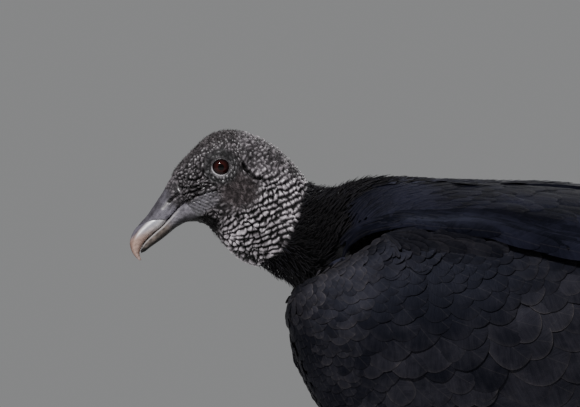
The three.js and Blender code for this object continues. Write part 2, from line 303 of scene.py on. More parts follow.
class Loft(Surface):
    """A body lofted through ribs. u is the station and v the angle round from the top of the back.

    Each rib is a row: top x, top z, low x, low z, half width, share of the height where it is widest,
    and the roundness of its upper and lower halves.
    """

    def __init__(self, ribs: Sequence[Sequence[float]]) -> None:
        """Takes the ribs and finds which way its normals face.

        Args:
            ribs: the rows of its table.
        """
        self.table = np.array(ribs, float)
        self.facing = 1.0
        middle = np.array([len(ribs) / 2])
        _, _, _, normal = self.frame(middle, np.array([0.0]))
        up = self.table[len(ribs) // 2, :2] - self.table[len(ribs) // 2, 2:4]
        self.facing = float(np.sign(normal[0, 0] * up[0] + normal[0, 2] * up[1]))

    def point(self, u: Array, v: Array, grow: float | Array = 0.0) -> Array:
        """Places on the loft.

        Args:
            u: stations.
            v: angles, in radians.
            grow: how far outside the loft, in millimetres.

        Returns:
            (N, 3) places.
        """
        top_x, top_z, low_x, low_z, half, widest, upper, lower = stations_at(self.table, u).T
        dx, dz = top_x - low_x, top_z - low_z
        height = np.hypot(dx, dz)
        s, c = np.sin(v), np.cos(v)
        power = 2 / np.where(c >= 0, upper, lower)
        reach = np.where(c >= 0, widest * height, (1 - widest) * height) + grow
        level = signed_power(c, power) * reach - widest * height
        y = signed_power(s, power) * (half + grow)
        return np.stack([top_x + dx / height * level, y, top_z + dz / height * level], axis=-1)

    def frame(self, u: Array, v: Array) -> tuple[Array, Array, Array, Array]:
        """The loft's local frame, with its normal outwards."""
        p, du, dv, n = super().frame(u, v)
        return p, du, dv, n * self.facing


def sheet_point(table: Array, place: Array, angle: Array, side: int, grow: float = 0.0) -> Array:
    """Places on a folded sheet, such as a wing.

    Args:
        table: stations, each top x, top z, low x, low z, top y, low y, bulge and thickness.
        place: stations along the sheet.
        angle: radians round it, the first half turn on its outer face and the second on its inner one.
        side: -1 on the bird's left and 1 on its right.
        grow: how much thicker each face is.

    Returns:
        (N, 3) places.
    """
    top_x, top_z, low_x, low_z, top_y, low_y, bulge, thick = stations_at(table, place).T
    t = (1 - np.cos(angle)) / 2
    middle = top_y + (low_y - top_y) * t + bulge * 4 * t * (1 - t)
    swell = signed_power(np.sin(angle), 0.6) * np.maximum(thick / 2 + grow, 0.6)
    share = 0.5 + (t - 0.5) * (1 + 2 * grow / np.hypot(top_x - low_x, top_z - low_z))
    x, z = top_x + (low_x - top_x) * share, top_z + (low_z - top_z) * share
    return np.stack([x, side * (middle + swell), z], axis=-1)


class SheetFace(Surface):
    """The outer face of a folded sheet: its distance from the midline over the side view (u = x, v = z)."""

    step = (1.5, 1.5)
    samples = (900, 260)

    def __init__(self, table: Array, side: int, margin: float = 16.0) -> None:
        """Samples the sheet onto a millimetre grid.

        Args:
            table: the sheet's stations.
            side: -1 on the bird's left and 1 on its right.
            margin: how far the face is carried on past the sheet's edges.
        """
        self.side = side
        along, around = self.samples
        place, angle = np.meshgrid(np.linspace(0, len(table) - 1, along), np.linspace(0, math.pi, around))
        p = sheet_point(table, place.ravel(), angle.ravel(), 1)
        self.low = np.floor([p[:, 0].min() - margin, p[:, 2].min() - margin])
        size = np.ceil([p[:, 0].max() + margin, p[:, 2].max() + margin]) - self.low
        shape = (int(size[0]) + 1, int(size[1]) + 1)
        total, count = np.zeros(shape), np.zeros(shape)
        ix = np.round(p[:, 0] - self.low[0]).astype(int)
        iz = np.round(p[:, 2] - self.low[1]).astype(int)
        np.add.at(total, (ix, iz), p[:, 1])
        np.add.at(count, (ix, iz), 1)
        self.covered = count > 0
        known = self.covered.copy()
        self.height = np.where(known, total / np.maximum(count, 1), 0.0)
        for _ in range(int(margin) + 4):
            near_sum, near_count = np.zeros(shape), np.zeros(shape)
            for shift in ((1, 0), (-1, 0), (0, 1), (0, -1)):
                near_sum += np.roll(self.height * known, shift, (0, 1))
                near_count += np.roll(known, shift, (0, 1))
            fill = ~known & (near_count > 0)
            self.height[fill] = near_sum[fill] / near_count[fill]
            known |= fill
        for _ in range(3):
            self.height = sum(np.roll(self.height, s, a) for a in (0, 1) for s in (-1, 0, 1)) / 6

    def _lookup(self, grid: Array, x: Array, z: Array) -> Array:
        """Reads a grid between its cells.

        Args:
            grid: one value for each square millimetre of the side view.
            x: places along the bird.
            z: their heights.

        Returns:
            (N,) values.
        """
        fx = np.clip(x - self.low[0], 0, grid.shape[0] - 1.001)
        fz = np.clip(z - self.low[1], 0, grid.shape[1] - 1.001)
        i, j = fx.astype(int), fz.astype(int)
        a, b = fx - i, fz - j
        near = grid[i, j] * (1 - a) * (1 - b) + grid[i + 1, j] * a * (1 - b)
        return near + grid[i, j + 1] * (1 - a) * b + grid[i + 1, j + 1] * a * b

    def inside(self, x: Array, z: Array) -> Array:
        """Whether places in the side view are on the sheet."""
        return self._lookup(self.covered.astype(float), x, z) > 0.5

    def point(self, u: Array, v: Array) -> Array:
        """Places on the face."""
        return np.stack([u, self.side * self._lookup(self.height, u, v), v], axis=-1)

    def frame(self, u: Array, v: Array) -> tuple[Array, Array, Array, Array]:
        """The face's local frame, with its normal away from the body."""
        p, du, dv, n = super().frame(u, v)
        return p, du, dv, n * np.sign(n[:, 1:2] * self.side)

    def unwrap(self, u: Array, v: Array) -> Array:
        """The side view, scaled to fit from 0 to 1."""
        span = max(self.height.shape)
        return np.stack([(u - self.low[0]) / span, (v - self.low[1]) / span], axis=-1)


class Limb(Surface):
    """A limb with upright stations, each a row: x, z, and half sizes fore and aft and across."""

    def __init__(self, table: Sequence[Sequence[float]], centre_y: float) -> None:
        """Takes the stations and the middle's distance from the bird's own."""
        self.table = np.array(table, float)
        self.centre_y = centre_y

    def point(self, u: Array, v: Array, grow: float | Array = 0.0) -> Array:
        """Places on the limb.

        Args:
            u: stations.
            v: angles, in radians.
            grow: how far outside the limb, in millimetres.

        Returns:
            (N, 3) places.
        """
        x, z, fore, across = stations_at(self.table, u).T
        y = self.centre_y + np.sin(v) * (across + grow)
        return np.stack([x + np.cos(v) * (fore + grow), y, z], axis=-1)

    def frame(self, u: Array, v: Array) -> tuple[Array, Array, Array, Array]:
        """The limb's local frame, with its normal outwards.

        Args:
            u: (N,) stations.
            v: (N,) angles.

        Returns:
            Places, two tangents and normals, (N, 3) each.
        """
        p, du, dv, n = super().frame(u, v)
        x, _, _, _ = stations_at(self.table, u).T
        out = p - np.stack([x, np.full_like(x, self.centre_y), p[:, 2]], axis=-1)
        return p, du, dv, n * np.sign(dot(n, out))


@dataclass(frozen=True)
class Flow:
    """Which way feathers point, seen from the side: angles above the horizon, spread from named places."""

    anchors: tuple[tuple[float, float, float], ...]
    reach: float = 14.0

    def heading(self, points: Array) -> Array:
        """Headings at places on the bird.

        Args:
            points: (N, 3) places.

        Returns:
            (N, 3) unit vectors in the side view's plane.
        """
        total, weight = np.zeros(len(points)), np.zeros(len(points))
        for x, z, degrees in self.anchors:
            w = ((points[:, 0] - x) ** 2 + (points[:, 2] - z) ** 2 + self.reach**2) ** -1.6
            total += w * degrees
            weight += w
        angle = np.radians(total / weight)
        return np.stack([np.cos(angle), np.zeros_like(angle), np.sin(angle)], axis=-1)


def scatter(points: Array, spacing: Array, rng: np.random.Generator) -> Array:
    """Picks places that keep their distance from each other.

    Args:
        points: (N, 3) places to choose from.
        spacing: (N,) least distance to a neighbour.
        rng: where the order comes from.

    Returns:
        Indices of the chosen places.
    """
    cell = float(spacing.max())
    keys = np.floor(points / cell).astype(int)
    taken: dict[tuple[int, int, int], list[tuple[float, float, float]]] = {}
    chosen = []
    around = [(i, j, k) for i in (-1, 0, 1) for j in (-1, 0, 1) for k in (-1, 0, 1)]
    plain, wide = points.tolist(), (spacing**2).tolist()
    for n in rng.permutation(len(points)).tolist():
        (px, py, pz), limit = plain[n], wide[n]
        kx, ky, kz = keys[n].tolist()
        clear = True
        for i, j, k in around:
            for qx, qy, qz in taken.get((kx + i, ky + j, kz + k), ()):
                if (px - qx) ** 2 + (py - qy) ** 2 + (pz - qz) ** 2 < limit:
                    clear = False
                    break
            if not clear:
                break
        if clear:
            taken.setdefault((kx, ky, kz), []).append((px, py, pz))
            chosen.append(n)
    return np.array(chosen, int)


# ---------------------------------------------------------------------------------------------------
# Node graphs
# ---------------------------------------------------------------------------------------------------


class Signal:
    """A node socket that takes part in Python expressions, each of which adds Math or Vector Math nodes."""

    def __init__(self, graph: "Graph", socket: bpy.types.NodeSocket, vector: bool = False) -> None:
        """Wraps a socket, which carries a vector or colour or else one number.

        Args:
            graph: the graph that the socket is in.
            socket: the socket that is wrapped.
            vector: whether it carries a vector or a colour.
        """
        self.graph = graph
        self.socket = socket
        self.vector = vector

    def _math(self, operation: str, other: Any, swap: bool = False) -> "Signal":
        """Adds one maths node.

        Args:
            operation: the node's operation.
            other: a signal or a number.
            swap: whether the other value comes first.

        Returns:
            What the node gives.
        """
        pair = (other, self) if swap else (self, other)
        other_vector = isinstance(other, Signal) and other.vector
        if operation == "MULTIPLY" and self.vector != other_vector:
            vector, number = (self, other) if self.vector else (other, self)
            values = {0: vector, "Scale": number}
            node = self.graph.add("ShaderNodeVectorMath", {"operation": "SCALE"}, values)
            return Signal(self.graph, node.outputs[0], True)
        either = self.vector or other_vector
        kind = "ShaderNodeVectorMath" if either else "ShaderNodeMath"
        node = self.graph.add(kind, {"operation": operation}, dict(enumerate(pair)))
        return Signal(self.graph, node.outputs[0], either)

    def __add__(self, other: Any) -> "Signal":
        """This plus a value."""
        return self._math("ADD", other)

    def __radd__(self, other: Any) -> "Signal":
        """A value plus this."""
        return self._math("ADD", other, swap=True)

    def __sub__(self, other: Any) -> "Signal":
        """This less a value."""
        return self._math("SUBTRACT", other)

    def __rsub__(self, other: Any) -> "Signal":
        """A value less this."""
        return self._math("SUBTRACT", other, swap=True)

    def __mul__(self, other: Any) -> "Signal":
        """This times a value."""
        return self._math("MULTIPLY", other)

    def __rmul__(self, other: Any) -> "Signal":
        """A value times this."""
        return self._math("MULTIPLY", other, swap=True)

    def function(self, operation: str, *others: Any) -> "Signal":
        """Any other Math operation, such as ABSOLUTE or SINE."""
        node = self.graph.add("ShaderNodeMath", {"operation": operation}, dict(enumerate((self, *others))))
        return Signal(self.graph, node.outputs[0])

    def eased(self, low: float, high: float) -> "Signal":
        """Eases from 0 where this is low to 1 where it is high.

        Args:
            low: where the step starts.
            high: where the step ends.

        Returns:
            The eased value.
        """
        sockets = {"Value": self, "From Min": low, "From Max": high}
        node = self.graph.add("ShaderNodeMapRange", {"interpolation_type": "SMOOTHSTEP"}, sockets)
        return Signal(self.graph, node.outputs[0])

    def split(self) -> tuple["Signal", "Signal", "Signal"]:
        """The x, y and z of a vector."""
        node = self.graph.add("ShaderNodeSeparateXYZ", {}, {0: self})
        return tuple(Signal(self.graph, out) for out in node.outputs)


class Graph:
    """A node tree that is built by expressions."""

    def __init__(self, tree: bpy.types.NodeTree) -> None:
        """Takes the tree that nodes are added to."""
        self.tree = tree

    def add(
        self, kind: str, settings: dict[str, Any] | None = None, sockets: dict[Any, Any] | None = None
    ) -> bpy.types.Node:
        """Adds a node.

        Args:
            kind: the node's type.
            settings: attributes to set before its sockets are touched.
            sockets: values or links by socket name or number.

        Returns:
            The node.
        """
        node = self.tree.nodes.new(kind)
        for name, value in (settings or {}).items():
            setattr(node, name, value)
        self.feed(node, sockets or {})
        return node

    def feed(self, node: bpy.types.Node, sockets: dict[Any, Any]) -> None:
        """Sets or links some of a node's sockets.

        Args:
            node: the node.
            sockets: values or links by socket name or number.
        """
        for key, value in sockets.items():
            if isinstance(value, Signal):
                self.tree.links.new(value.socket, node.inputs[key])
            elif isinstance(value, bpy.types.NodeSocket):
                self.tree.links.new(value, node.inputs[key])
            else:
                node.inputs[key].default_value = value

    def named(self, name: str, data_type: str = "FLOAT_VECTOR") -> Signal:
        """A named attribute in a geometry tree."""
        node = self.add("GeometryNodeInputNamedAttribute", {"data_type": data_type}, {"Name": name})
        return Signal(self, node.outputs["Attribute"], data_type == "FLOAT_VECTOR")

    def attribute(self, name: str) -> bpy.types.Node:
        """A named attribute in a material."""
        return self.add("ShaderNodeAttribute", {"attribute_name": name})

    def place(self) -> Signal:
        """Object coordinates in a material."""
        return Signal(self, self.add("ShaderNodeTexCoord").outputs["Object"], True)

    def joined(self, x: Any, y: Any, z: Any) -> Signal:
        """A vector of three values."""
        return Signal(self, self.add("ShaderNodeCombineXYZ", {}, {0: x, 1: y, 2: z}).outputs[0], True)

    def noise(self, vector: Any, scale: float, detail: float = 3.0, roughness: float = 0.55) -> Signal:
        """Noise from 0 to 1 in a material."""
        sockets = {"Vector": vector, "Scale": scale, "Detail": detail, "Roughness": roughness}
        return Signal(self, self.add("ShaderNodeTexNoise", {}, sockets).outputs["Fac"])

    def mix(self, share: Any, low: Any, high: Any) -> Signal:
        """A colour between two colours.

        Args:
            share: 0 for the first colour to 1 for the second.
            low: the first colour.
            high: the second colour.

        Returns:
            The colour.
        """
        node = self.add("ShaderNodeMix", {"data_type": "RGBA"}, {"Factor": share})
        ends = [end if isinstance(end, Signal) else (*end, 1.0) for end in (low, high)]
        self.feed(node, dict(zip([i for i, s in enumerate(node.inputs) if s.type == "RGBA"], ends)))
        return Signal(self, next(s for s in node.outputs if s.type == "RGBA"), True)

    def bump(self, height: Signal, distance: float) -> bpy.types.NodeSocket:
        """A normal bent by a height, for a shader's Normal."""
        return self.add("ShaderNodeBump", {}, {"Height": height, "Distance": distance}).outputs["Normal"]


def new_material(name: str, constants: dict[str, Any]) -> tuple[bpy.types.Material, Graph, bpy.types.Node]:
    """Starts a material.

    Args:
        name: its name.
        constants: values of the shader's sockets that are the same all over.

    Returns:
        The material, its graph and its shader.
    """
    material = bpy.data.materials.new(name)
    material.use_nodes = True
    shader = material.node_tree.nodes["Principled BSDF"]
    for socket, value in constants.items():
        shader.inputs[socket].default_value = value
    return material, Graph(material.node_tree), shader


# ---------------------------------------------------------------------------------------------------
# Meshes
# ---------------------------------------------------------------------------------------------------


def new_object(name: str, vertices: Array, faces: Sequence[Sequence[int]]) -> bpy.types.Object:
    """Makes a mesh object from millimetres.

    Args:
        name: its name.
        vertices: (N, 3) places in millimetres.
        faces: corner indices of each face.

    Returns:
        The object, linked to the scene.
    """
    mesh = bpy.data.meshes.new(name)
    mesh.from_pydata((vertices * MM).tolist(), [], faces)
    mesh.validate()
    mesh.update()
    item = bpy.data.objects.new(name, mesh)
    bpy.context.scene.collection.objects.link(item)
    return item


def set_attribute(item: bpy.types.Object, name: str, kind: str, values: Array) -> None:
    """Stores one value for each vertex.

    Args:
        item: a mesh object.
        name: the attribute's name.
        kind: FLOAT, FLOAT_VECTOR, FLOAT2 or FLOAT_COLOR.
        values: one row a vertex.
    """
    key = {"FLOAT": "value", "FLOAT_COLOR": "color"}.get(kind, "vector")
    made = item.data.attributes.new(name, kind, "POINT")
    made.data.foreach_set(key, np.asarray(values, np.float32).ravel())


def set_tone(item: bpy.types.Object, colour: Array, gloss: float | Array = 0.0) -> None:
    """Stores a colour for each vertex, with its gloss from 0 to 1 as alpha from 0.5 to 1.

    Args:
        item: a mesh object, which is changed.
        colour: one colour for each vertex.
        gloss: 0 to 1, or one value for each vertex.
    """
    alpha = np.broadcast_to(0.5 + 0.5 * np.asarray(gloss, float), (len(colour),))[:, None]
    tone = np.concatenate([np.clip(colour, DARKEST, PALEST), alpha], axis=1)
    set_attribute(item, "tone", "FLOAT_COLOR", tone)


def ring_faces(rows: int, sides: int) -> Array:
    """The square faces between rings of points, which come one after another.

    Args:
        rows: how many rings there are.
        sides: how many points each has.

    Returns:
        (F, 4) corner indices.
    """
    r, c = np.meshgrid(np.arange(rows - 1) * sides, np.arange(sides), indexing="ij")
    a, b = (r + c).ravel(), (r + (c + 1) % sides).ravel()
    return np.stack([a, b, b + sides, a + sides], axis=-1)


def facing_in(vertices: Array, faces: Sequence[Sequence[int]]) -> bool:
    """Whether faces point inwards, told by the volume that they span from the origin.

    Args:
        vertices: (N, 3) places.
        faces: corner indices of each face.

    Returns:
        True if they do.
    """
    fans = np.array([(face[0], b, c) for face in faces for b, c in zip(face[1:], face[2:])])
    first, second, third = (vertices[corner] for corner in fans.T)
    return float(np.sum(first * np.cross(second, third))) <= 0


def outward(vertices: Array, faces: list[list[int]]) -> list[list[int]]:
    """The faces of a closed body, all turned over if they point inwards."""
    return [face[::-1] for face in faces] if facing_in(vertices, faces) else faces


def with_ends(rows: Array) -> Array:
    """Rings of places or colours one after another, then the mean of the first ring and of the last."""
    return np.concatenate([rows.reshape(-1, 3), [rows[0].mean(0), rows[-1].mean(0)]])


def tube(name: str, rows: Array, colour: Array | None = None, gloss: float | Array = 0.0) -> bpy.types.Object:
    """Makes a closed tube from rings of points, its ends shut, turned by the faces between its rings.

    Args:
        name: the object's name.
        rows: (R, C, 3) rings in millimetres.
        colour: (R, C, 3) colours, or none.
        gloss: 0 for dry skin, up to 1 for wet skin, or one value for each point of the rings.

    Returns:
        The object.
    """
    count, sides = rows.shape[:2]
    total, last = count * sides, (count - 1) * sides
    vertices, faces = with_ends(rows), ring_faces(count, sides).tolist()
    turn_over = facing_in(vertices, faces)
    faces += [[total, (c + 1) % sides, c] for c in range(sides)]
    faces += [[total + 1, last + c, last + (c + 1) % sides] for c in range(sides)]
    item = new_object(name, vertices, [face[::-1] for face in faces] if turn_over else faces)
    if colour is not None:
        if isinstance(gloss, np.ndarray):
            gloss = np.concatenate([gloss.ravel(), [0.0, 0.0]])
        set_tone(item, with_ends(colour), gloss)
    return item


def united(name: str, first: bpy.types.Object, others: Sequence[bpy.types.Object]) -> bpy.types.Object:
    """Joins closed bodies into one skin.

    Args:
        name: the new object's name.
        first: the main body.
        others: bodies to join to it, which are used up.

    Returns:
        The joined object.
    """
    tools = bpy.data.collections.new(name + "_tools")
    for item in others:
        tools.objects.link(item)
    modifier = first.modifiers.new("join", "BOOLEAN")
    modifier.operation = "UNION"
    modifier.operand_type = "COLLECTION"
    modifier.collection = tools
    modifier.solver = "MANIFOLD"
    result = evaluated(first, name)
    for item in (first, *others):
        bpy.data.objects.remove(item)
    bpy.data.collections.remove(tools)
    settle_tone(result)
    return result


def settle_tone(item: bpy.types.Object) -> None:
    """Colours the vertices that joining made from their neighbours.

    Args:
        item: the joined skin, whose colours are changed.
    """
    count = len(item.data.vertices)
    tone = np.empty(count * 4, np.float32)
    store = item.data.attributes["tone"].data
    store.foreach_get("color", tone)
    tone = tone.reshape(-1, 4)
    brightest = tone[:, :3].max(axis=1)
    known = (tone[:, 3] > 0.45) & (brightest < 0.98) & (brightest > 0.001)
    edges = np.empty(len(item.data.edges) * 2, np.int32)
    item.data.edges.foreach_get("vertices", edges)
    a, b = edges.reshape(-1, 2).T
    for _ in range(6):
        total, weight = np.zeros((count, 4)), np.zeros(count)
        for near, far in ((a, b), (b, a)):
            np.add.at(total, near, tone[far] * known[far, None])
            np.add.at(weight, near, known[far])
        fill = ~known & (weight > 0)
        tone[fill] = total[fill] / weight[fill, None]
        known |= fill
    store.foreach_set("color", tone.ravel())


def evaluated(item: bpy.types.Object, name: str) -> bpy.types.Object:
    """Makes a plain mesh object of what an object's modifiers make.

    Args:
        item: the object.
        name: the new object's name.

    Returns:
        The new object, linked to the scene.
    """
    graph = bpy.context.evaluated_depsgraph_get()
    source = item.evaluated_get(graph)
    mesh = bpy.data.meshes.new_from_object(source, preserve_all_data_layers=True, depsgraph=graph)
    mesh.name = name
    result = bpy.data.objects.new(name, mesh)
    bpy.context.scene.collection.objects.link(result)
    return result


def smooth_shaded(item: bpy.types.Object) -> bpy.types.Object:
    """Shades every face smoothly."""
    item.data.shade_smooth()
    return item


def hand_over(
    item: bpy.types.Object,
    material: bpy.types.Material | None = None,
    replaces: Sequence[str] = (),
) -> bpy.types.Object:
    """Registers a finished piece.

    Args:
        item: the piece.
        material: its finish, if it has none yet.
        replaces: the CAD nodes it stands for.

    Returns:
        The piece.
    """
    if material is not None:
        item.data.materials.clear()
        item.data.materials.append(material)
    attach(item, "root")
    if replaces:
        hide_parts(*replaces)
    triangles = sum(len(p.vertices) - 2 for p in item.data.polygons)
    log.info("%s: %d triangles", item.name, triangles)
    return item


# ---------------------------------------------------------------------------------------------------
# The bird's form
# ---------------------------------------------------------------------------------------------------

BODY = Loft(
    (
        (-247, 300, -229, 272, 9.5, 0.5, 2.2, 2.4),
        (-244, 306, -227, 271.5, 12, 0.48, 2.2, 2.4),
        (-238, 313, -224, 270.5, 14.5, 0.45, 2.2, 2.3),
        (-231, 320, -221, 267.5, 17, 0.42, 2.3, 2.2),
        (-223, 327, -217, 263, 19, 0.38, 2.3, 2.0),
        (-214, 330, -214, 259, 20, 0.37, 2.3, 1.9),
        (-205, 330, -210, 255, 20.5, 0.38, 2.3, 1.9),
        (-196, 327, -206, 252, 21, 0.42, 2.2, 2),
        (-187, 323, -203, 249, 21, 0.46, 2.2, 2),
        (-178, 317, -199, 247, 21.5, 0.5, 2.1, 2),
        (-171, 310, -196, 245, 22, 0.52, 2, 2),
        (-165, 303, -192, 244.5, 23, 0.52, 2, 2),
        (-160, 297, -188, 243, 24.5, 0.5, 2, 2),
        (-155, 295, -180, 237, 28, 0.5, 2, 2),
        (-149, 294, -172, 233, 32, 0.48, 2, 2),
        (-142, 294, -164, 224, 38, 0.47, 2, 2),
        (-133, 297, -160, 203, 47, 0.44, 2, 2.1),
        (-120, 300, -153, 176, 57, 0.42, 2, 2.2),
        (-101, 301, -136, 153, 66, 0.4, 2, 2.2),
        (-75, 300, -104, 137, 73, 0.38, 2.1, 2.2),
        (-37, 299, -56, 130, 76, 0.38, 2.1, 2.2),
        (1, 298, -8, 130, 75, 0.38, 2.1, 2.2),
        (40, 292, 37, 135, 69, 0.38, 2.1, 2.1),
        (78, 284, 78, 146, 60, 0.38, 2.1, 2),
        (117, 272, 117, 162, 48, 0.38, 2, 2),
        (155, 256, 152, 182, 36, 0.4, 2, 2),
        (187, 240, 186, 200, 26, 0.45, 2, 2),
        (214, 223, 213, 209, 15, 0.5, 2, 2),
    )
)
UPPER_BILL = Loft(
    (
        (-247.3, 299.6, -238.7, 285.2, 9.3, 0.62, 2, 3.4),
        (-251.6, 292.3, -243.2, 280.7, 8.2, 0.62, 2, 3.4),
        (-257.1, 283.8, -248.3, 274.8, 6.9, 0.6, 2, 3.2),
        (-262.2, 276.4, -252.8, 269.7, 6.1, 0.6, 2, 3),
        (-267.2, 270.9, -257.3, 266.2, 5.9, 0.58, 2.1, 3),
        (-271.3, 265.6, -261.8, 262.5, 5.3, 0.55, 2.2, 2.8),
        (-273.4, 259.8, -265.2, 258.6, 4.3, 0.5, 2.2, 2.6),
        (-272.9, 254.6, -267.1, 254.7, 3, 0.5, 2.2, 2.2),
        (-270.7, 250.4, -267.8, 251.1, 1.7, 0.5, 2, 2),
        (-267.5, 247.1, -266.5, 247.5, 0.5, 0.5, 2, 2),
    )
)
LOWER_BILL = Loft(
    (
        (-238.3, 284.2, -229.4, 272.2, 9, 0.4, 3.2, 2.2),
        (-243, 279.8, -237, 271.9, 8, 0.4, 3.2, 2.2),
        (-248, 273.8, -243.4, 268.9, 6.6, 0.4, 3, 2.2),
        (-252.4, 268.8, -249.2, 264.5, 5.5, 0.4, 3, 2.2),
        (-256.8, 265, -254.6, 260.3, 4.7, 0.4, 3, 2.2),
        (-261, 261.2, -260.2, 256.4, 3.7, 0.4, 2.6, 2.2),
        (-264.6, 257.2, -264, 253.4, 2.5, 0.45, 2.4, 2.2),
        (-266.9, 253.4, -266.5, 252, 1, 0.5, 2, 2),
    )
)
WING_SHEET = np.array(
    (
        (-173.5, 217, -173, 206, 63, 62, 0, 7),
        (-166, 230, -170.5, 193, 66, 66, 4, 17),
        (-149, 239, -164, 174, 70, 70, 8, 19),
        (-127, 252, -153, 155, 69, 73, 13, 18),
        (-102, 266, -134, 132, 67, 75, 17, 16),
        (-68, 271, -98, 112, 68, 77, 19, 14),
        (-18, 263, -42, 102, 73, 77, 18, 13),
        (40, 252, 26, 103, 70, 73, 16, 11),
        (92, 237, 86, 112, 62, 65, 13, 9),
        (132, 219, 130, 123, 51, 56, 8, 7),
        (168, 197, 174, 137, 45, 47, 5, 5.5),
        (208, 179, 213, 146, 38, 40, 2.5, 4),
        (244, 162, 246, 153, 33, 34, 0, 2),
    ),
    float,
)
SCAPULAR_SHEET = np.array(
    (
        (-138, 282, -134, 266, 40, 49, 0, 2.5),
        (-116, 294, -116, 266, 40, 65, 3, 7),
        (-82, 297, -86, 267, 41, 77, 5, 9),
        (-30, 296, -36, 261, 41, 84, 5, 9),
        (26, 291, 18, 249.5, 40, 82, 5, 8.5),
        (80, 280, 74, 236, 35, 73, 4, 7.5),
        (124, 266, 118, 221, 29, 60, 3, 6),
        (156, 249, 152, 214, 25, 48, 1, 4),
        (184, 232, 184, 221, 22, 31, 0, 1.2),
    ),
    float,
)
THIGH_STATIONS = (
    (-26, 186, 36, 24), (-17, 160, 34, 25), (-6, 134, 26, 20), (4, 111, 17, 14), (11, 96, 10, 9),
    (14.5, 87, 6, 6),
)
SHANK_STATIONS = (
    (14.5, 92, 5.2, 5), (14, 85.5, 5.6, 5.2), (13, 80, 6.4, 6), (10, 68, 4.4, 4.2), (2, 46, 4.1, 3.9),
    (-7, 23, 4.4, 4.4), (-12, 12, 5.8, 7), (-14, 5, 7.4, 8.4), (-14.5, 0.6, 6.6, 7.6),
)
LEG_Y = 36.0
FOOT_X = -14.0
HORN_ARCH = 2.4
EYE_CENTRE = (-215.3, 14.9, 306.9)
EYE_RADIUS = 7.2
HORN_TOP = (-271.5, 267.6)
HORN_EDGE = (-248.5, 273.2)


@dataclass(frozen=True)
class Toe:
    """One toe.

    Attributes:
        heading: degrees from straight ahead.
        length: from the middle of the foot to its end.
        claw: length of its claw.
        bones: how many pads swell under it.
        radius: its thickness at its root.
    """

    heading: float
    length: float
    claw: float
    bones: int
    radius: float = 4.4

    def axes(self, side: int) -> tuple[Array, Array]:
        """Unit vectors along the toe and across it."""
        h = math.radians(self.heading)
        return (
            np.array([-math.cos(h), side * math.sin(h), 0.0]),
            np.array([side * math.sin(h), math.cos(h), 0.0]),
        )

    def thickness(self, share: Array) -> Array:
        """Radius along the toe, swelling over each pad."""
        return self.radius * (1.04 - 0.24 * share + 0.09 * np.cos(share * self.bones * 2 * math.pi))

    def line(self, share: Array, side: int) -> Array:
        """The middle of the toe at shares of its length.

        Args:
            share: shares of its length, 0 to 1.
            side: -1 on the bird's left and 1 on its right.

        Returns:
            (N, 3) places.
        """
        ahead, _ = self.axes(side)
        start = np.array([FOOT_X, side * LEG_Y, 0.0])
        lift = np.array([0, 0, 1]) * (0.8 * self.thickness(share))[:, None]
        return start + share[:, None] * self.length * ahead + lift


TOES = {
    "middle": Toe(3, 66, 17, 3),
    "inner": Toe(-27, 42, 15, 2),
    "outer": Toe(34, 48, 14, 4),
    "hind": Toe(-163, 21, 13, 1),
}

RUFF_Z = (236.0, 245.1, 251.4, 256.4, 265.2, 275.0, 280.8, 288.7, 294.6, 304.0)
RUFF_X = (-198.0, -192.4, -180.7, -173.9, -169.0, -166.0, -166.5, -164.1, -162.1, -160.0)
THROAT_X = (-262.0, -244.9, -236.9, -223.6, -216.0, -212.0, -205.0)
THROAT_Z = (256.0, 268.9, 273.1, 278.4, 274.2, 267.0, 256.0)
NAPE_Z = (250.0, 256.0, 265.0, 274.0, 278.0, 281.6, 289.0, 297.0, 300.0, 309.0, 324.0)
NAPE_X = (-211.5, -213.8, -217.0, -215.0, -207.5, -195.6, -191.4, -189.7, -193.9, -200.8, -203.3)
CROWN_X = (-247, -236, -226, -205, -190)
CROWN_Z = (299, 310, 317, 323, 326)


def beyond_ruff(points: Array) -> Array:
    """How far behind the edge of the ruff places lie, in millimetres; less than 0 on bare skin."""
    return (points[:, 0] - np.interp(points[:, 2], RUFF_Z, RUFF_X)) * 0.85


def behind_nape(points: Array) -> Array:
    """Share of each place that is folded neck rather than head."""
    return smoothstep(-3.5, 3.5, points[:, 0] - np.interp(points[:, 2], NAPE_Z, NAPE_X))


def above_brow(points: Array) -> Array:
    """How far places lie over the line where the crown starts, in millimetres."""
    return points[:, 2] - np.interp(points[:, 0], CROWN_X, CROWN_Z)


def on_flank(points: Array) -> Array:
    """Share of each place that is on a side of the head, away from the midline."""
    return smoothstep(5.0, 10.0, np.abs(points[:, 1]))


def eye_distance(points: Array) -> Array:
    """How far places lie from the middle of the eye in the side view."""
    return np.hypot(points[:, 0] - EYE_CENTRE[0], points[:, 2] - EYE_CENTRE[2])


def below_jaw(points: Array) -> Array:
    """Share of each place under the line of the jaw, painted near-black: partly the throat's dark skin,
    partly painted shade under the jaw.
    """
    return smoothstep(-0.4, 1.6, np.interp(points[:, 0], THROAT_X, THROAT_Z) - points[:, 2])


def past_horn_edge(x: Array, z: Array) -> Array:
    """How far beyond the horn's arched edge places of the bill lie, in millimetres.

    Args:
        x: (N,) places along the bird.
        z: (N,) heights.

    Returns:
        (N,) distances, less than 0 behind the edge.
    """
    slope = (HORN_TOP[1] - HORN_EDGE[1]) / (HORN_TOP[0] - HORN_EDGE[0])
    share = np.clip((x - HORN_TOP[0]) / (HORN_EDGE[0] - HORN_TOP[0]), 0, 1)
    return HORN_EDGE[1] + slope * (x - HORN_EDGE[0]) - z + HORN_ARCH * 4 * share * (1 - share)


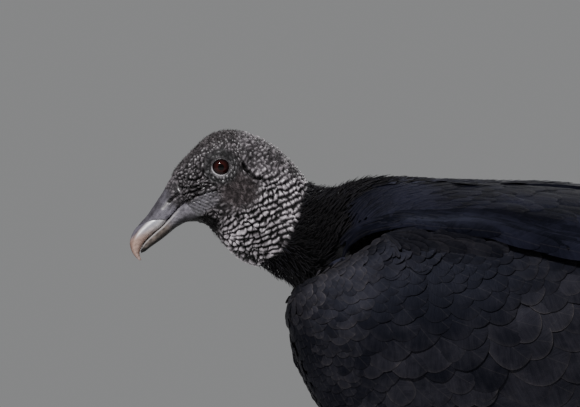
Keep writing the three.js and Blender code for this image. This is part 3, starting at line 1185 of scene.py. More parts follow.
def shoulder_hollow(points: Array) -> Array:
    """How much a place belongs to the dark hollow between neck, shoulder and wing, 0 to 1.

    Args:
        points: (N, 3) places.

    Returns:
        (N,) shares.
    """
    x, z = points[:, 0] + 119.0, points[:, 2] - 258.5
    along, across = x * 0.9 + z * 0.44, z * 0.9 - x * 0.44
    side_view = smoothstep(1.25, 0.8, np.hypot((along + 1.5) / 18.5, across / 8.2))
    return side_view * smoothstep(15, 25, np.abs(points[:, 1]))


@dataclass(frozen=True)
class Relief:
    """What a modeller's tools left on the skin: its height, its colour and its gloss."""

    height: Array
    tone: Array
    gloss: Array | float = 0.0


@dataclass(frozen=True)
class Regions:
    """What lies where on the head, as shares from 0 to 1, and the heights of its patterns.

    Attributes:
        bare: bare skin rather than ruff.
        neck: the folded neck.
        crown: the beaded crown.
        face: the rest of the head.
        flank: the side of the head.
        ear: the patch round the ear.
        jaw: the smooth jaw.
        throat: the throat under the jaw line, painted near-black, partly its dark skin and partly painted
            shade.
        ridge: height of the neck's folds.
        pebble: height of the crown's beads.
        lore: height of the face's beads.
    """

    bare: Array
    neck: Array
    crown: Array
    face: Array
    flank: Array
    ear: Array
    jaw: Array
    throat: Array
    ridge: Array
    pebble: Array
    lore: Array


@dataclass(frozen=True)
class Orbit:
    """The rings of beads round an eye.

    Attributes:
        away: distance from the middle of the eye.
        loop: the same distance, made to wander.
        below: share of each place that is under the eye rather than over it.
        near: share that is near the eye.
        beads: height of the beads.
    """

    away: Array
    loop: Array
    below: Array
    near: Array
    beads: Array


@dataclass(frozen=True)
class Lines:
    """Distances to the lines that are cut into the head, and a pattern of stripes from -1 to 1."""

    ear: Array
    gape: Array
    gape_along: Array
    crease: Array
    stripes: Array


@dataclass
class HeadSculpt:
    """The bare head and neck: beads, folds, lids, ear and mouth, in millimetres."""

    ridge_depth: float = 1.9
    ridge_pitch: tuple[float, float] = (3.9, 3.45)
    ridge_hub: tuple[float, float] = (-328.0, 220.7)
    ridge_scale: float = 145.0
    crown_pitch: float = 1.7
    crown_depth: float = 0.75
    lore_pitch: float = 2.6
    lore_depth: float = 1.15
    rim_radius: float = 5.1
    rim_lift: float = 0.3
    eye_depth: float = 3.2
    ear: Line = ((-201.2, 309), (-199, 304.7), (-196.1, 301.3), (-192.2, 299.6), (-187.6, 298.8))
    gape: Line = ((-218, 292.3), (-223.8, 291), (-231.5, 288.5), (-239.5, 284), (-244, 280))
    jaw: Line = ((-221, 287.5), (-227, 283.5), (-235, 278))
    brow: Line = ((-227, 313.5), (-219, 317), (-206, 317.5), (-199, 314))
    forehead: Line = ((-246.4, 297.4), (-241, 292), (-236, 290))
    creases: tuple[Line, ...] = (
        ((-238.8, 300.4), (-235.5, 298.6), (-231.0, 298.8), (-227.8, 300.6)),
        ((-226.9, 306.0), (-226.4, 301.8), (-223.6, 299.8)),
        ((-231.4, 306.6), (-231.0, 302.2)),
        ((-240.0, 293.6), (-232.0, 294.4), (-225.5, 297.0), (-220.0, 296.0)),
        ((-241.5, 288.6), (-234.0, 291.2), (-226.0, 294.0)),
    )
    ruff_tone: Colour = (0.004, 0.004, 0.0045)
    # Near-black painted shade for the creases between folds and beads, also used for the throat.
    groove_shade_tone: Colour = (0.0018, 0.0017, 0.0018)
    ridge_tone: Colour = (0.41, 0.366, 0.396)
    face_tone: Colour = (0.105, 0.093, 0.1)
    crown_tone: Colour = (0.063, 0.055, 0.058)
    ear_tone: Colour = (0.044, 0.036, 0.037)
    jaw_tone: Colour = (0.125, 0.116, 0.134)
    lid_tone: Colour = (0.2, 0.19, 0.2)

    def warped(self, p: Array, pitch: float, amount: float, seed: int) -> Array:
        """Places pushed about by noise, so that cells over them wander."""
        push = [value_noise(p / pitch + 31.7 * k, seed + k) for k in range(3)]
        return p + np.stack(push, axis=-1) * amount

    def ridges(self, p: Array) -> Array:
        """Height of the neck's folds: wavy rows that run out from a hub before the throat, cut into beads.

        Args:
            p: (N, 3) places.

        Returns:
            (N,) heights from 0 to 1.
        """
        w = self.warped(p, 8.0, 1.6, 3)
        w = w + 0.8 * np.stack([value_noise(p / 2.9 + k * 9.1, 6 + k) for k in range(3)], axis=-1)
        turn = np.arctan2(w[:, 2] - self.ridge_hub[1], w[:, 0] - self.ridge_hub[0])
        out = np.hypot(w[:, 2] - self.ridge_hub[1], w[:, 0] - self.ridge_hub[0])
        shift = Cells.of(self.warped(p, 6.0, 1.5, 23) / 12.0, 24).own
        level = turn * self.ridge_scale / self.ridge_pitch[1] + 1.1 * shift
        row = np.floor(level)
        rise = level - row
        profile = smoothstep(0.02, 0.3, rise) * (0.25 + 0.75 * smoothstep(1.0, 0.4, rise))
        profile = profile * smoothstep(1.0, 0.9, rise)
        run = (out + 0.8 * w[:, 1]) / self.ridge_pitch[0]
        own = lattice_noise(np.stack([row, row * 0, row * 0], axis=-1), 15)
        run = run + own[:, 0] * 7 + 0.35 * value_noise(p / 4.5, 16)
        bead = np.floor(run)
        gap = smoothstep(0.0, 0.5, 1 - np.abs(2 * (run - bead) - 1))
        each = lattice_noise(np.stack([row, bead, row * 0], axis=-1), 17)[:, 1]
        rough = 0.22 * value_noise(p / 1.3, 26) + 0.16 * value_noise(p / 0.8, 27)
        rows = profile * (0.4 + 0.6 * gap) * (0.62 + 0.38 * each) + rough * profile
        high = smoothstep(302, 309, p[:, 2] + 0.25 * (p[:, 0] + 195))
        low = smoothstep(262, 254, p[:, 2] + 0.6 * (p[:, 0] + 200)) * 0.8
        lobes = Cells.of(self.warped(p, 6.0, 1.0, 19) / np.array([3.7, 4.0, 3.1]), 14).beads(0.45)
        return rows * (1 - high) * (1 - low) + self.nape_beads(p, rough) * high + lobes * low * (1 - high)

    def nape_beads(self, p: Array, rough: Array) -> Array:
        """Height of the small slanting beads at the top of the neck.

        Args:
            p: (N, 3) places.
            rough: (N,) roughness to add.

        Returns:
            (N,) heights.
        """
        w = self.warped(p, 5.0, 1.2, 18)
        along, down = 0.77 * w[:, 0] + 0.64 * w[:, 2], 0.77 * w[:, 2] - 0.64 * w[:, 0]
        cells = Cells.of(np.stack([along / 3.9, w[:, 1] / 2.8, down / 2.3], axis=-1), 11)
        return (0.3 + 0.6 * cells.beads(0.5)) * (0.65 + 0.3 * cells.own) + rough

    def face_beads(self, p: Array) -> Array:
        """Height of the face's beads: drawn out along the mouth and rounder higher up.

        Args:
            p: (N, 3) places.

        Returns:
            (N,) heights from 0 to 1.
        """
        w = self.warped(p, 3.6, 1.2, 31)
        along, down = 0.96 * w[:, 0] + 0.29 * w[:, 2], 0.96 * w[:, 2] - 0.29 * w[:, 0]
        slant = np.stack([along, w[:, 1] * 1.2, down], axis=-1)
        pitch = self.lore_pitch
        upper = Cells.of(w / np.array([pitch, 2.6, pitch * 1.25]), 13).beads(0.5)
        lower = Cells.of(slant / np.array([pitch * 1.85, 2.6, pitch * 0.85]), 34).beads(0.5)
        over_gape = p[:, 2] - np.interp(p[:, 0], *np.array(self.gape)[::-1].T)
        return lower + (upper - lower) * smoothstep(6, 10, over_gape)

    def regions(self, p: Array) -> Regions:
        """Works out what lies where.

        Args:
            p: (N, 3) places on the plain form.

        Returns:
            The regions and their patterns.
        """
        x, y, z = p.T
        bare = 1 - smoothstep(0.0, 7.0, beyond_ruff(p))
        neck = behind_nape(p) * bare
        crown = smoothstep(-2, 5, above_brow(p)) * (1 - neck)
        auricle = np.hypot((x + 203.5) / 14.0, (z - 291.5) / 13.0) + 0.12 * value_noise(p / 3.5, 55)
        throat = below_jaw(p) * (1 - neck) * bare
        jaw_away, _ = segment_distance(x, z, self.jaw)
        jaw = (1 - smoothstep(3.6, 6.6, jaw_away)) * smoothstep(3.0, 6.0, np.abs(y))
        return Regions(
            bare=bare,
            neck=neck,
            crown=crown,
            face=np.clip(1 - neck - crown, 0, 1),
            flank=on_flank(p),
            ear=(1 - smoothstep(0.45, 1.15, auricle)) * on_flank(p),
            jaw=jaw * (1 - throat) * (0.35 + 0.65 * smoothstep(-216.0, -228.0, x)),
            throat=throat,
            ridge=self.ridges(p),
            pebble=Cells.of(self.warped(p, 4.0, 0.5, 21) / self.crown_pitch, 12).beads(0.5),
            lore=self.face_beads(p),
        )

    def orbit(self, p: Array) -> Orbit:
        """Works out the rings round the eye.

        Args:
            p: (N, 3) places on the plain form.

        Returns:
            The rings.
        """
        away = eye_distance(p)
        loop = away + 0.55 * value_noise(p / 3.1, 57) * smoothstep(6.0, 8.0, away)
        turn = np.arctan2(p[:, 0] - EYE_CENTRE[0], EYE_CENTRE[2] - p[:, 2])
        near = (1 - smoothstep(9.5, 13.0, away)) * on_flank(p)
        cells = Cells.of(np.stack([turn * 8.5 / 2.7, (loop - 6.1) / 2.5, turn * 0], axis=-1), 59, 0.75)
        below = smoothstep(-0.45, 0.35, np.cos(turn - 0.35))
        return Orbit(away, loop, below, near, cells.beads(0.45) * smoothstep(6.0, 6.7, loop) * near)

    def lines(self, p: Array) -> Lines:
        """Works out how far places are from the lines.

        Args:
            p: (N, 3) places on the plain form.

        Returns:
            The distances and the jaw's stripes.
        """
        x, _, z = p.T
        ear, _ = segment_distance(x, z, self.ear)
        gape, gape_along = segment_distance(x, z, self.gape)
        crease = np.min([segment_distance(x, z, line)[0] for line in self.creases], axis=0)
        stripes = np.sin((z + 0.45 * x) * 2 * math.pi / 2.1 + 1.5 * value_noise(p / 4, 51))
        return Lines(ear, gape, gape_along, crease, stripes)

    def height(self, p: Array, r: Regions, o: Orbit, cut: Lines) -> Array:
        """Height of the relief along the form's normal.

        Args:
            p: (N, 3) places on the plain form.
            r: what lies where.
            o: the rings round the eye.
            cut: the lines.

        Returns:
            (N,) heights in millimetres.
        """
        x, y, z = p.T
        fine = value_noise(p / 1.1, 41) * 0.5 + value_noise(p / 0.6, 43) * 0.3
        height = r.neck * r.ridge * self.ridge_depth + r.crown * r.pebble * self.crown_depth
        lore = r.face * r.lore * self.lore_depth
        height += lore * (1 - 0.7 * r.jaw) * (1 - 0.75 * r.ear) * (1 - o.near)
        height += fine * 0.12 * r.bare
        height += o.beads * (0.4 + 1.2 * o.below)
        height -= r.flank * (1 - o.below) * bell(o.loop - 7.2, 0.6) * 0.5
        height += r.flank * (bell(cut.crease - 1.2, 0.6) * 0.5 - bell(cut.crease, 0.5) * 0.9)
        height += r.flank * bell(segment_distance(x, z, self.brow)[0], 3.2)
        height -= r.ear * 0.7
        height += r.flank * bell(cut.ear - 1.9, 0.9) * 0.8 - r.flank * bell(cut.ear, 0.85) * 2.0
        scallop = 0.6 + 0.4 * np.cos(cut.gape_along * 2 * math.pi * 9)
        height += r.flank * bell(cut.gape - 1.5, 0.8) * 0.55 * scallop - r.flank * bell(cut.gape, 0.55)
        height += r.jaw * cut.stripes * 0.25
        edge = bell(segment_distance(x, z, self.forehead)[0], 2.2)
        height -= edge * r.face * r.lore * self.lore_depth * 0.6
        rim = EYE_CENTRE[1] + math.sqrt(EYE_RADIUS**2 - self.rim_radius**2) + self.rim_lift
        socket = (1 - smoothstep(5.4, 9.5, o.away)) * r.flank
        height = height * (1 - 0.8 * socket) + (rim - np.abs(y)) * socket
        return height - r.flank * (1 - smoothstep(4.55, 5.2, o.away)) * self.eye_depth

    def lid(self, r: Regions, o: Orbit) -> Array:
        """Share of each place that is eyelid."""
        return r.flank * (1 - smoothstep(5.9, 7.2, o.away))

    def tone(self, p: Array, r: Regions, o: Orbit, cut: Lines) -> Array:
        """Colours of the skin.

        Args:
            p: (N, 3) places on the plain form.
            r: what lies where.
            o: the rings round the eye.
            cut: the lines.

        Returns:
            (N, 3) colours.
        """
        tone = self.ground_tone(p, r)
        lid_tone = np.array(self.lid_tone)
        tone = between(tone, lid_tone * (0.1 + 0.35 * o.below)[:, None], self.lid(r, o) * 0.85)
        ring_shade = 0.55 * (0.25 - 0.15 * o.below + 0.75 * o.beads) * (0.3 + 0.6 * o.below)
        tone = between(tone, lid_tone * ring_shade[:, None], o.near * smoothstep(6.4, 7.0, o.loop))
        # Painted shade: the ear opening, the mouth line, the creases and the fold over the eye are darkened
        # where shade falls in them.
        dark = bell(cut.ear, 1.2) + bell(cut.gape, 0.8) + bell(cut.crease, 0.6)
        dark += (1 - o.below) * bell(o.loop - 7.2, 0.8) * 0.6
        tone *= 1 - 0.9 * np.clip(r.flank * dark, 0, 1)[:, None]
        speck = 0.34 * value_noise(p / 1.5, 64) + 0.3 * value_noise(p / 0.8, 65)
        speck += r.ear * (0.8 * value_noise(p / 2.2, 66) + 0.7 * value_noise(p / 0.9, 67))
        speck -= r.jaw * (0.25 - 0.25 * cut.stripes)
        return tone * np.exp(speck * r.bare * (1 - 0.4 * r.jaw))[:, None]

    def ground_tone(self, p: Array, r: Regions) -> Array:
        """Colours of the skin before the eye's rings and the painted shade of its creases and lines are
        drawn.

        Args:
            p: (N, 3) places on the plain form.
            r: what lies where.

        Returns:
            (N, 3) colours.
        """
        high = smoothstep(291, 311, p[:, 2])
        # Painted shade: the neck's folds, the crown's beads and the face's beads are painted near-black down
        # in their creases, and keep the skin's own colour on their tops.
        raised = smoothstep(0.2, 1.0, r.ridge)
        ridge_tone = between(self.groove_shade_tone, self.ridge_tone, raised + (1 - raised) * 0.11 * high)
        crown_tone = np.array(self.crown_tone)
        crown_tone = between(crown_tone * 0.25, crown_tone, smoothstep(0.0, 0.8, r.pebble))
        face_tone = np.array(self.face_tone)
        tone = between(face_tone * 0.1, face_tone, smoothstep(0.02, 0.75, r.lore))
        tone = between(tone, crown_tone, r.crown)
        tone = between(tone, ridge_tone * (1 - 0.42 * high)[:, None], r.neck)
        tone = between(tone, self.jaw_tone, r.jaw * 0.95)
        tone = between(tone, self.ear_tone, r.ear * 0.85)
        # The throat is painted near-black: partly its own dark skin, partly painted shade under the jaw.
        tone = between(tone, np.array(self.groove_shade_tone) * 1.6, r.throat * 0.95)
        blotch = 0.22 * value_noise(p / 9, 61) + 0.22 * value_noise(p / 2.2, 62) + 0.1 * value_noise(p, 63)
        tone *= (0.8 + blotch)[:, None]
        return between(tone, self.ruff_tone, smoothstep(-1.5, 3.0, beyond_ruff(p)))

    def gloss(self, p: Array, r: Regions, o: Orbit) -> Array:
        """How wet the skin looks.

        Args:
            p: (N, 3) places on the plain form.
            r: what lies where.
            o: the rings round the eye.

        Returns:
            (N,) gloss from 0 to 1.
        """
        gloss = r.neck * smoothstep(0.25, 0.75, r.ridge) * (1 - 0.6 * smoothstep(291, 311, p[:, 2]))
        gloss += 0.45 * r.crown * r.pebble + 0.75 * r.face * smoothstep(0.2, 0.8, r.lore)
        gloss = gloss * (1 - o.near) * (1 - r.ear) * (1 - r.throat) * r.bare
        gloss += o.near * o.beads * (0.12 + 0.6 * o.below)
        least = 0.7 * np.maximum(r.jaw, self.lid(r, o) * o.below)
        return np.clip(np.maximum(gloss * (1 + 0.4 * value_noise(p / 2.0, 68)), least), 0, 1)

    def relief(self, p: Array) -> Relief:
        """Works out the skin's relief.

        Args:
            p: (N, 3) places on the plain form.

        Returns:
            Height along the form's normal, colour and gloss.
        """
        r, o, cut = self.regions(p), self.orbit(p), self.lines(p)
        return Relief(self.height(p, r, o, cut), self.tone(p, r, o, cut), self.gloss(p, r, o))



@dataclass
class Skin:
    """One skin from the bill's soft base to the toes, which lies under the plumage by the coat's depth."""

    sculpt: HeadSculpt = field(default_factory=HeadSculpt)
    head_rows: int = 208
    head_columns: int = 288
    trunk_rows: int = 30
    ruff_inset: float = 4.0
    trunk_inset: float = 3.0
    head_end: float = 12.6
    leg_tone: Colour = (0.36, 0.355, 0.34)
    leg_groove: Colour = (0.17, 0.162, 0.152)
    cere_tone: Colour = (0.107, 0.099, 0.119)
    cere_groove: Colour = (0.035, 0.032, 0.038)
    mandible_tone: Colour = (0.075, 0.06, 0.052)
    wing_inset: float = 3.0
    toe_flat: float = 0.04
    # A pale painted highlight for the wet upper rim of the lower bill.
    lip_highlight_tone: Colour = (0.36, 0.34, 0.34)
    scrape_tone: Colour = (0.33, 0.32, 0.31)
    nostril: Line = ((-242.8, 290.0), (-248.6, 284.9))
    scrape: Line = ((-248.6, 284.9), (-252.5, 280.5))
    # A painted highlight: the pale gloss band on the cere between the nostril and the mouth line.
    streak: Line = ((-242.8, 281.1), (-251.3, 272.6))

    def inset(self, p: Array) -> Array:
        """How far the skin lies under the outline.

        Args:
            p: (N, 3) places.

        Returns:
            (N,) depths in millimetres.
        """
        d = beyond_ruff(p)
        hollow = 8.0 * shoulder_hollow(p)
        coat = self.ruff_inset * smoothstep(0.0, 7.0, d) + self.trunk_inset * smoothstep(20.0, 45.0, d)
        return coat + hollow

    def row_places(self) -> Array:
        """Stations of the head's rows, evenly spaced along the form.

        Returns:
            (R,) stations.
        """
        u = np.linspace(0, self.head_end, 1200)
        top, side = (BODY.point(u, np.full_like(u, angle)) for angle in (0.0, math.pi / 2))
        over, past = (np.linalg.norm(np.diff(line, axis=0), axis=1) for line in (top, side))
        move = 0.6 * over + past
        run = np.concatenate([[0], np.cumsum(move)])
        return np.interp(np.linspace(0, run[-1], self.head_rows), run, u)

    def ring_angles(self, u: Array, count: int) -> Array:
        """Angles round the form for each row, closer together on the flanks than above and below.

        Args:
            u: (R,) stations of the rows.
            count: how many angles each row has.

        Returns:
            (R, count) angles.
        """
        fine = np.linspace(0, 2 * math.pi, 481)
        p = BODY.point(np.repeat(u, len(fine)), np.tile(fine, len(u))).reshape(len(u), len(fine), 3)
        move = np.abs(np.diff(p, axis=1))
        far = np.cumsum(0.5 * np.linalg.norm(move, axis=2) + 0.5 * move[..., 2], axis=1)
        share = np.arange(count) / count
        return np.array([np.interp(share * row[-1], np.concatenate([[0], row]), fine) for row in far])

    def head_rings(self) -> tuple[Array, Array, Array]:
        """Sculpted rings of the head and neck, their colours and their gloss.

        Returns:
            (R, C, 3) places, (R, C, 3) colours and one gloss a point.
        """
        rows = self.row_places()
        u, v = np.repeat(rows[:, None], self.head_columns, axis=1), self.ring_angles(rows, self.head_columns)
        _, _, _, n = BODY.frame(np.clip(u.ravel(), 0.03, 99), v.ravel())
        p = BODY.point(u.ravel(), v.ravel())
        relief = self.sculpt.relief(p)
        p = p + n * (relief.height - self.inset(p))[:, None]
        return p.reshape(*u.shape, 3), relief.tone.reshape(*u.shape, 3), relief.gloss

    def trunk_rings(self) -> Array:
        """Rings of the trunk, half as many points in each as the head's.

        Returns:
            (R, C, 3) places.
        """
        rows = self.head_end + np.linspace(0, 1, self.trunk_rows + 1)[1:] ** 1.15 * (26.6 - self.head_end)
        columns = self.head_columns // 2
        u, v = np.repeat(rows[:, None], columns, axis=1), self.ring_angles(rows, columns)
        p, _, _, n = BODY.frame(u.ravel(), v.ravel())
        return (p - n * self.inset(p)[:, None]).reshape(*u.shape, 3)

    def torso(self) -> bpy.types.Object:
        """The head, neck and trunk as one closed body.

        Returns:
            The object.
        """
        head, tone, gloss = self.head_rings()
        trunk = self.trunk_rings()
        (rows, n), m = head.shape[:2], trunk.shape[1]
        last, base = (rows - 1) * n, rows * n
        total = base + trunk.shape[0] * m
        faces = ring_faces(rows, n).tolist()
        for c in range(m):
            a, b, d = last + 2 * c, last + 2 * c + 1, last + (2 * c + 2) % n
            e, f = base + c, base + (c + 1) % m
            faces += [[a, b, e], [b, f, e], [b, d, f]]
        faces += (ring_faces(trunk.shape[0], m) + base).tolist()
        faces += [[total, (c + 1) % n, c] for c in range(n)]
        faces += [[total + 1, total - m + c, total - m + (c + 1) % m] for c in range(m)]
        ends = [head[0].mean(0), trunk[-1].mean(0)]
        vertices = np.concatenate([head.reshape(-1, 3), trunk.reshape(-1, 3), ends])
        plain = np.tile(self.sculpt.ruff_tone, (trunk.shape[0] * m, 1))
        tones = np.concatenate([tone.reshape(-1, 3), plain, [tone[0].mean(0), self.sculpt.ruff_tone]])
        item = new_object("torso", vertices, outward(vertices, faces))
        set_tone(item, tones, np.concatenate([gloss, np.zeros(len(vertices) - len(gloss))]))
        return item

    def cere(self) -> bpy.types.Object:
        """The bill's soft upper base, which runs on a little way under the horn.

        Returns:
            The object.
        """
        grid = rings(-0.7, 5.3, 92, 92)
        u, v = (each.ravel() for each in grid)
        _, du, _, n = UPPER_BILL.frame(np.clip(u, 0.03, 99), v)
        p = UPPER_BILL.point(np.maximum(u, 0), v) + du * np.minimum(u, 0)[:, None]
        x, y, z = p.T
        skirt = smoothstep(-0.1, -0.6, u)
        under = smoothstep(-0.2, 0.9, past_horn_edge(x, z))
        flank = smoothstep(2.5, 5.0, np.abs(y))
        marks = (self.nostril, self.scrape, self.streak)
        slot, scrape, streak = (segment_distance(x, z, line)[0] for line in marks)
        place = np.stack([(0.6 * x + 0.8 * z) / 7.5, y / 2.4, (0.8 * x - 0.6 * z) / 1.9], axis=-1)
        lobes = 0.5 + 0.5 * value_noise(place, 71)
        height = 0.42 * lobes + 0.07 * value_noise(p / 1.1, 72)
        height += 0.55 * bell(slot - 1.9, 0.8) * flank
        height -= 2.4 * flank * (1 - smoothstep(0.5, 1.25, slot))
        height -= 0.35 * flank * bell(scrape, 0.7)
        near = smoothstep(1.5, 0.5, u + 0.5 * value_noise(p / 3.0, 76))
        beads = Cells.of(self.sculpt.warped(p, 3.6, 1.2, 31) / 2.4, 77).beads(0.5)
        height += near * beads * 0.6
        p = p + n * (height * (1 - skirt) - 0.9 * under - 1.6 * skirt)[:, None]
        shine = smoothstep(0.15, 0.85, lobes)
        crest = smoothstep(1.2, 0.5, from_top(v))
        tone = between(self.cere_groove, self.cere_tone, (0.05 + 0.95 * shine) * (1 - 0.75 * crest))
        tone *= (0.85 + 0.25 * value_noise(p / 4, 73))[:, None]
        # Painted shade: the nostril slit is painted near-black inside its recess.
        tone *= (1 - 0.97 * flank * (1 - smoothstep(0.6, 1.5, slot)))[:, None]
        tone = between(tone, self.scrape_tone, bell(scrape, 0.9) * flank * 0.5)
        # Painted highlight: the cere is made paler along the streak, a gloss band between nostril and mouth.
        tone *= (1 + 1.5 * flank * bell(streak, 2.0))[:, None]
        tone *= np.exp(0.3 * value_noise(p / 1.6, 74) + 0.25 * value_noise(p / 0.8, 75))[:, None]
        # Where the face's beads run onto the cere, they are painted dark in their creases, painted shade as
        # on the head.
        tone = between(tone, np.array(self.sculpt.face_tone) * (0.1 + 0.9 * beads)[:, None], near * 0.9)
        shape = (*grid[0].shape, 3)
        return tube("cere", p.reshape(shape), tone.reshape(shape), (0.25 + 0.6 * shine) * (1 - crest))

    def mandible(self) -> bpy.types.Object:
        """The lower bill.

        Returns:
            The object.
        """
        grid = rings(-0.9, 7, 80, 72)
        u, v = (each.ravel() for each in grid)
        _, du, _, n = LOWER_BILL.frame(np.clip(u, 0.03, 99), v)
        p = LOWER_BILL.point(np.maximum(u, 0), v) + du * np.minimum(u, 0)[:, None]
        skirt = smoothstep(-0.2, -0.8, u)
        soft = 1 - smoothstep(2.2, 3.4, u + 0.5 * np.sin(v) ** 2)
        grain = value_noise(p / np.array([3.5, 1.2, 0.9]), 81)
        nest = 0.9 * smoothstep(0.2, 0.9, np.cos(v)) * smoothstep(7.0, 5.5, u)
        height = 0.15 * grain * soft + 0.25 * (1 - soft) * smoothstep(7, 6, u) - 1.5 * skirt + nest
        p = p + n * height[:, None]
        skin_tone = np.array(self.sculpt.jaw_tone) * (0.85 + 0.25 * grain)[:, None]
        tone = between(np.array(self.mandible_tone) * (0.95 + 0.1 * grain)[:, None], skin_tone, soft)
        mottle = 0.6 * smoothstep(1.0, 2.6, u) * value_noise(p / 1.4, 82)
        mottle += soft * (0.45 * value_noise(p / 1.7, 83) + 0.35 * value_noise(p / 0.8, 84))
        # Painted shade: the lower bill darkens towards its underside, and under the jaw line it is painted
        # near-black, partly the throat's dark skin and partly painted shade.
        under = smoothstep(0.1, -0.85, np.cos(v))
        # Painted highlight: a pale line along the wet upper rim of the lower bill, which also gets its gloss
        # there.
        lip = bell(from_top(v) - 0.95, 0.16) * smoothstep(0.5, 2.0, u) * smoothstep(7.0, 6.3, u)
        tone = tone * (np.exp(mottle) * (1 - 0.88 * under) * (1 - 0.95 * below_jaw(p)))[:, None]
        tone = between(tone, self.lip_highlight_tone, lip * 0.6)
        shape = (*grid[0].shape, 3)
        gloss = np.clip(np.maximum(0.55 * (1 - under) * (1 + 0.5 * grain), lip), 0, 1)
        return tube("mandible", p.reshape(shape), tone.reshape(shape), gloss)

    def lid(self, side: int) -> bpy.types.Object:
        """The bare ring of the eyelids.

        Args:
            side: -1 on the bird's left and 1 on its right.

        Returns:
            The object.
        """
        around, turn = np.meshgrid(whole_turn(64), whole_turn(10), indexing="ij")
        thick = 0.42 + 0.12 * np.cos(around * 1.0 + 1.2) + 0.05 * np.sin(around * 17)
        reach = 5.62 + 0.1 * np.cos(2 * around) + thick * np.cos(turn)
        x = EYE_CENTRE[0] + reach * np.cos(around) * 1.02
        z = EYE_CENTRE[2] + reach * np.sin(around) * 0.97
        rim = EYE_CENTRE[1] + math.sqrt(EYE_RADIUS**2 - self.sculpt.rim_radius**2)
        y = side * (rim + 0.1 + 0.25 * np.sin(around) + thick * np.sin(turn))
        flat = np.stack([x, y, z], axis=-1).reshape(-1, 3)
        count, sides = around.shape
        faces = (ring_faces(count + 1, sides) % len(flat)).tolist()
        item = new_object(f"lid_{side}", flat, outward(flat - flat.mean(0), faces))
        white = 0.12 + 1.5 * smoothstep(0.3, 0.9, -np.sin(around + 0.6))
        set_tone(item, np.array(self.sculpt.lid_tone) * white.reshape(-1, 1), 0.8)
        return item

    def flesh(self, name: str, rows: Array) -> bpy.types.Object:
        """A body that plumage covers, in the ruff's colour, from rings of points."""
        return tube(name, rows, np.ones_like(rows) * np.array(self.sculpt.ruff_tone))

    def wing_core(self, side: int) -> bpy.types.Object:
        """The fleshy fore part of a folded wing.

        Args:
            side: -1 on the bird's left and 1 on its right.

        Returns:
            The object.
        """
        u, v = rings(0.25, 7.7, 31, 22)
        p = sheet_point(WING_SHEET, u.ravel(), v.ravel(), side, -self.wing_inset)
        return self.flesh(f"wing_core_{side}", p.reshape(*u.shape, 3))

    def shoulder_core(self, side: int) -> bpy.types.Object:
        """The flesh that carries the wing and the feathers over the shoulder.

        Args:
            side: -1 on the bird's left and 1 on its right.

        Returns:
            The object.
        """
        u, v = rings(0.4, 5.2, 20, 16)
        p = sheet_point(SCAPULAR_SHEET, u.ravel(), v.ravel(), side, -self.wing_inset)
        p[:, 1] -= side * 3.0
        return self.flesh(f"shoulder_core_{side}", p.reshape(*u.shape, 3))

    def arm(self, side: int) -> bpy.types.Object:
        """The upper arm, which joins the wing to the trunk.

        Args:
            side: -1 on the bird's left and 1 on its right.

        Returns:
            The object.
        """
        u, v = rings(-1, 1, 14, 14)
        girth = np.sqrt(np.maximum(1 - u * u, 0.0004))
        y = side * (57 + 17 * girth * np.sin(v))
        z = 226 + 20 * u + 26 * girth * np.cos(v)
        return self.flesh(f"arm_{side}", np.stack([-95 + 42 * u, y, z], axis=-1))

    def thigh(self, side: int) -> bpy.types.Object:
        """The feathered part of a leg.

        Args:
            side: -1 on the bird's left and 1 on its right.

        Returns:
            The object.
        """
        u, v = rings(0, 5, 16, 24)
        shrink = -self.ruff_inset * smoothstep(5.0, 3.4, u.ravel()) - 0.4
        p = Limb(THIGH_STATIONS, side * LEG_Y).point(u.ravel(), v.ravel(), shrink)
        return self.flesh(f"thigh_core_{side}", p.reshape(*u.shape, 3))

    def scales(self, p: Array, pitch: Sequence[float], depth: float, seed: int) -> Relief:
        """Small scales of a leg.

        Args:
            p: places on it.
            pitch: size of a scale along x, y and z.
            depth: how deep the creases are.
            seed: which pattern.

        Returns:
            Their relief.
        """
        cells = Cells.of(p / np.array(pitch), seed, 0.4)
        raised = smoothstep(0.0, 0.45, cells.beads(0.3))
        tone = between(self.leg_groove, self.leg_tone, raised) * (0.8 + 0.25 * cells.own)[:, None]
        return Relief(raised * depth, tone)

    def shank(self, side: int) -> bpy.types.Object:
        """The bare part of a leg, scaled all round.

        Args:
            side: -1 on the bird's left and 1 on its right.

        Returns:
            The object.
        """
        u, v = rings(0, 8, 90, 32)
        p, _, _, n = Limb(SHANK_STATIONS, side * LEG_Y).frame(u.ravel(), v.ravel())
        relief = self.scales(p + side * 7, (3.4, 3.4, 2.9), 0.55, 91)
        p = p + n * np.where(p[:, 2] < 1.5, 0, relief.height - 0.25)[:, None]
        return tube(f"shank_core_{side}", p.reshape(*u.shape, 3), relief.tone.reshape(*u.shape, 3))

    def toe(self, name: str, side: int) -> bpy.types.Object:
        """A toe: scutes across its top, fine scales on its sides and a flat pad under it.

        Args:
            name: which toe.
            side: -1 on the bird's left and 1 on its right.

        Returns:
            The object.
        """
        toe = TOES[name]
        grid = rings(0, 1, int(toe.length / 0.95), 24)
        share, v = (each.ravel() for each in grid)
        _, across = toe.axes(side)
        n = across * np.sin(v)[:, None] + np.array([0.0, 0.0, 1.0]) * np.cos(v)[:, None]
        p = toe.line(share, side) + n * toe.thickness(share)[:, None]
        top = smoothstep(0.1, 0.5, np.cos(v))
        crease = np.abs(((share * toe.length / 2.9) % 1.0) - 0.5) * 2
        scute = smoothstep(1.0, 0.55, crease)
        grain = self.scales(p + side * 11, (1.9, 1.9, 1.9), 0.35, 92)
        height = top * (scute * 0.6 - 0.25) + (1 - top) * (grain.height - 0.1)
        end = smoothstep(0.97, 1.0, share)
        p = p + n * (height * (1 - end) - end * 0.8)[:, None]
        p[:, 2] = np.maximum(p[:, 2], self.toe_flat)
        tone = between(grain.tone, between(self.leg_groove, self.leg_tone, scute * 0.9), top)
        shape = (*grid[0].shape, 3)
        return tube(f"toe_core_{name}_{side}", p.reshape(shape), tone.reshape(shape))

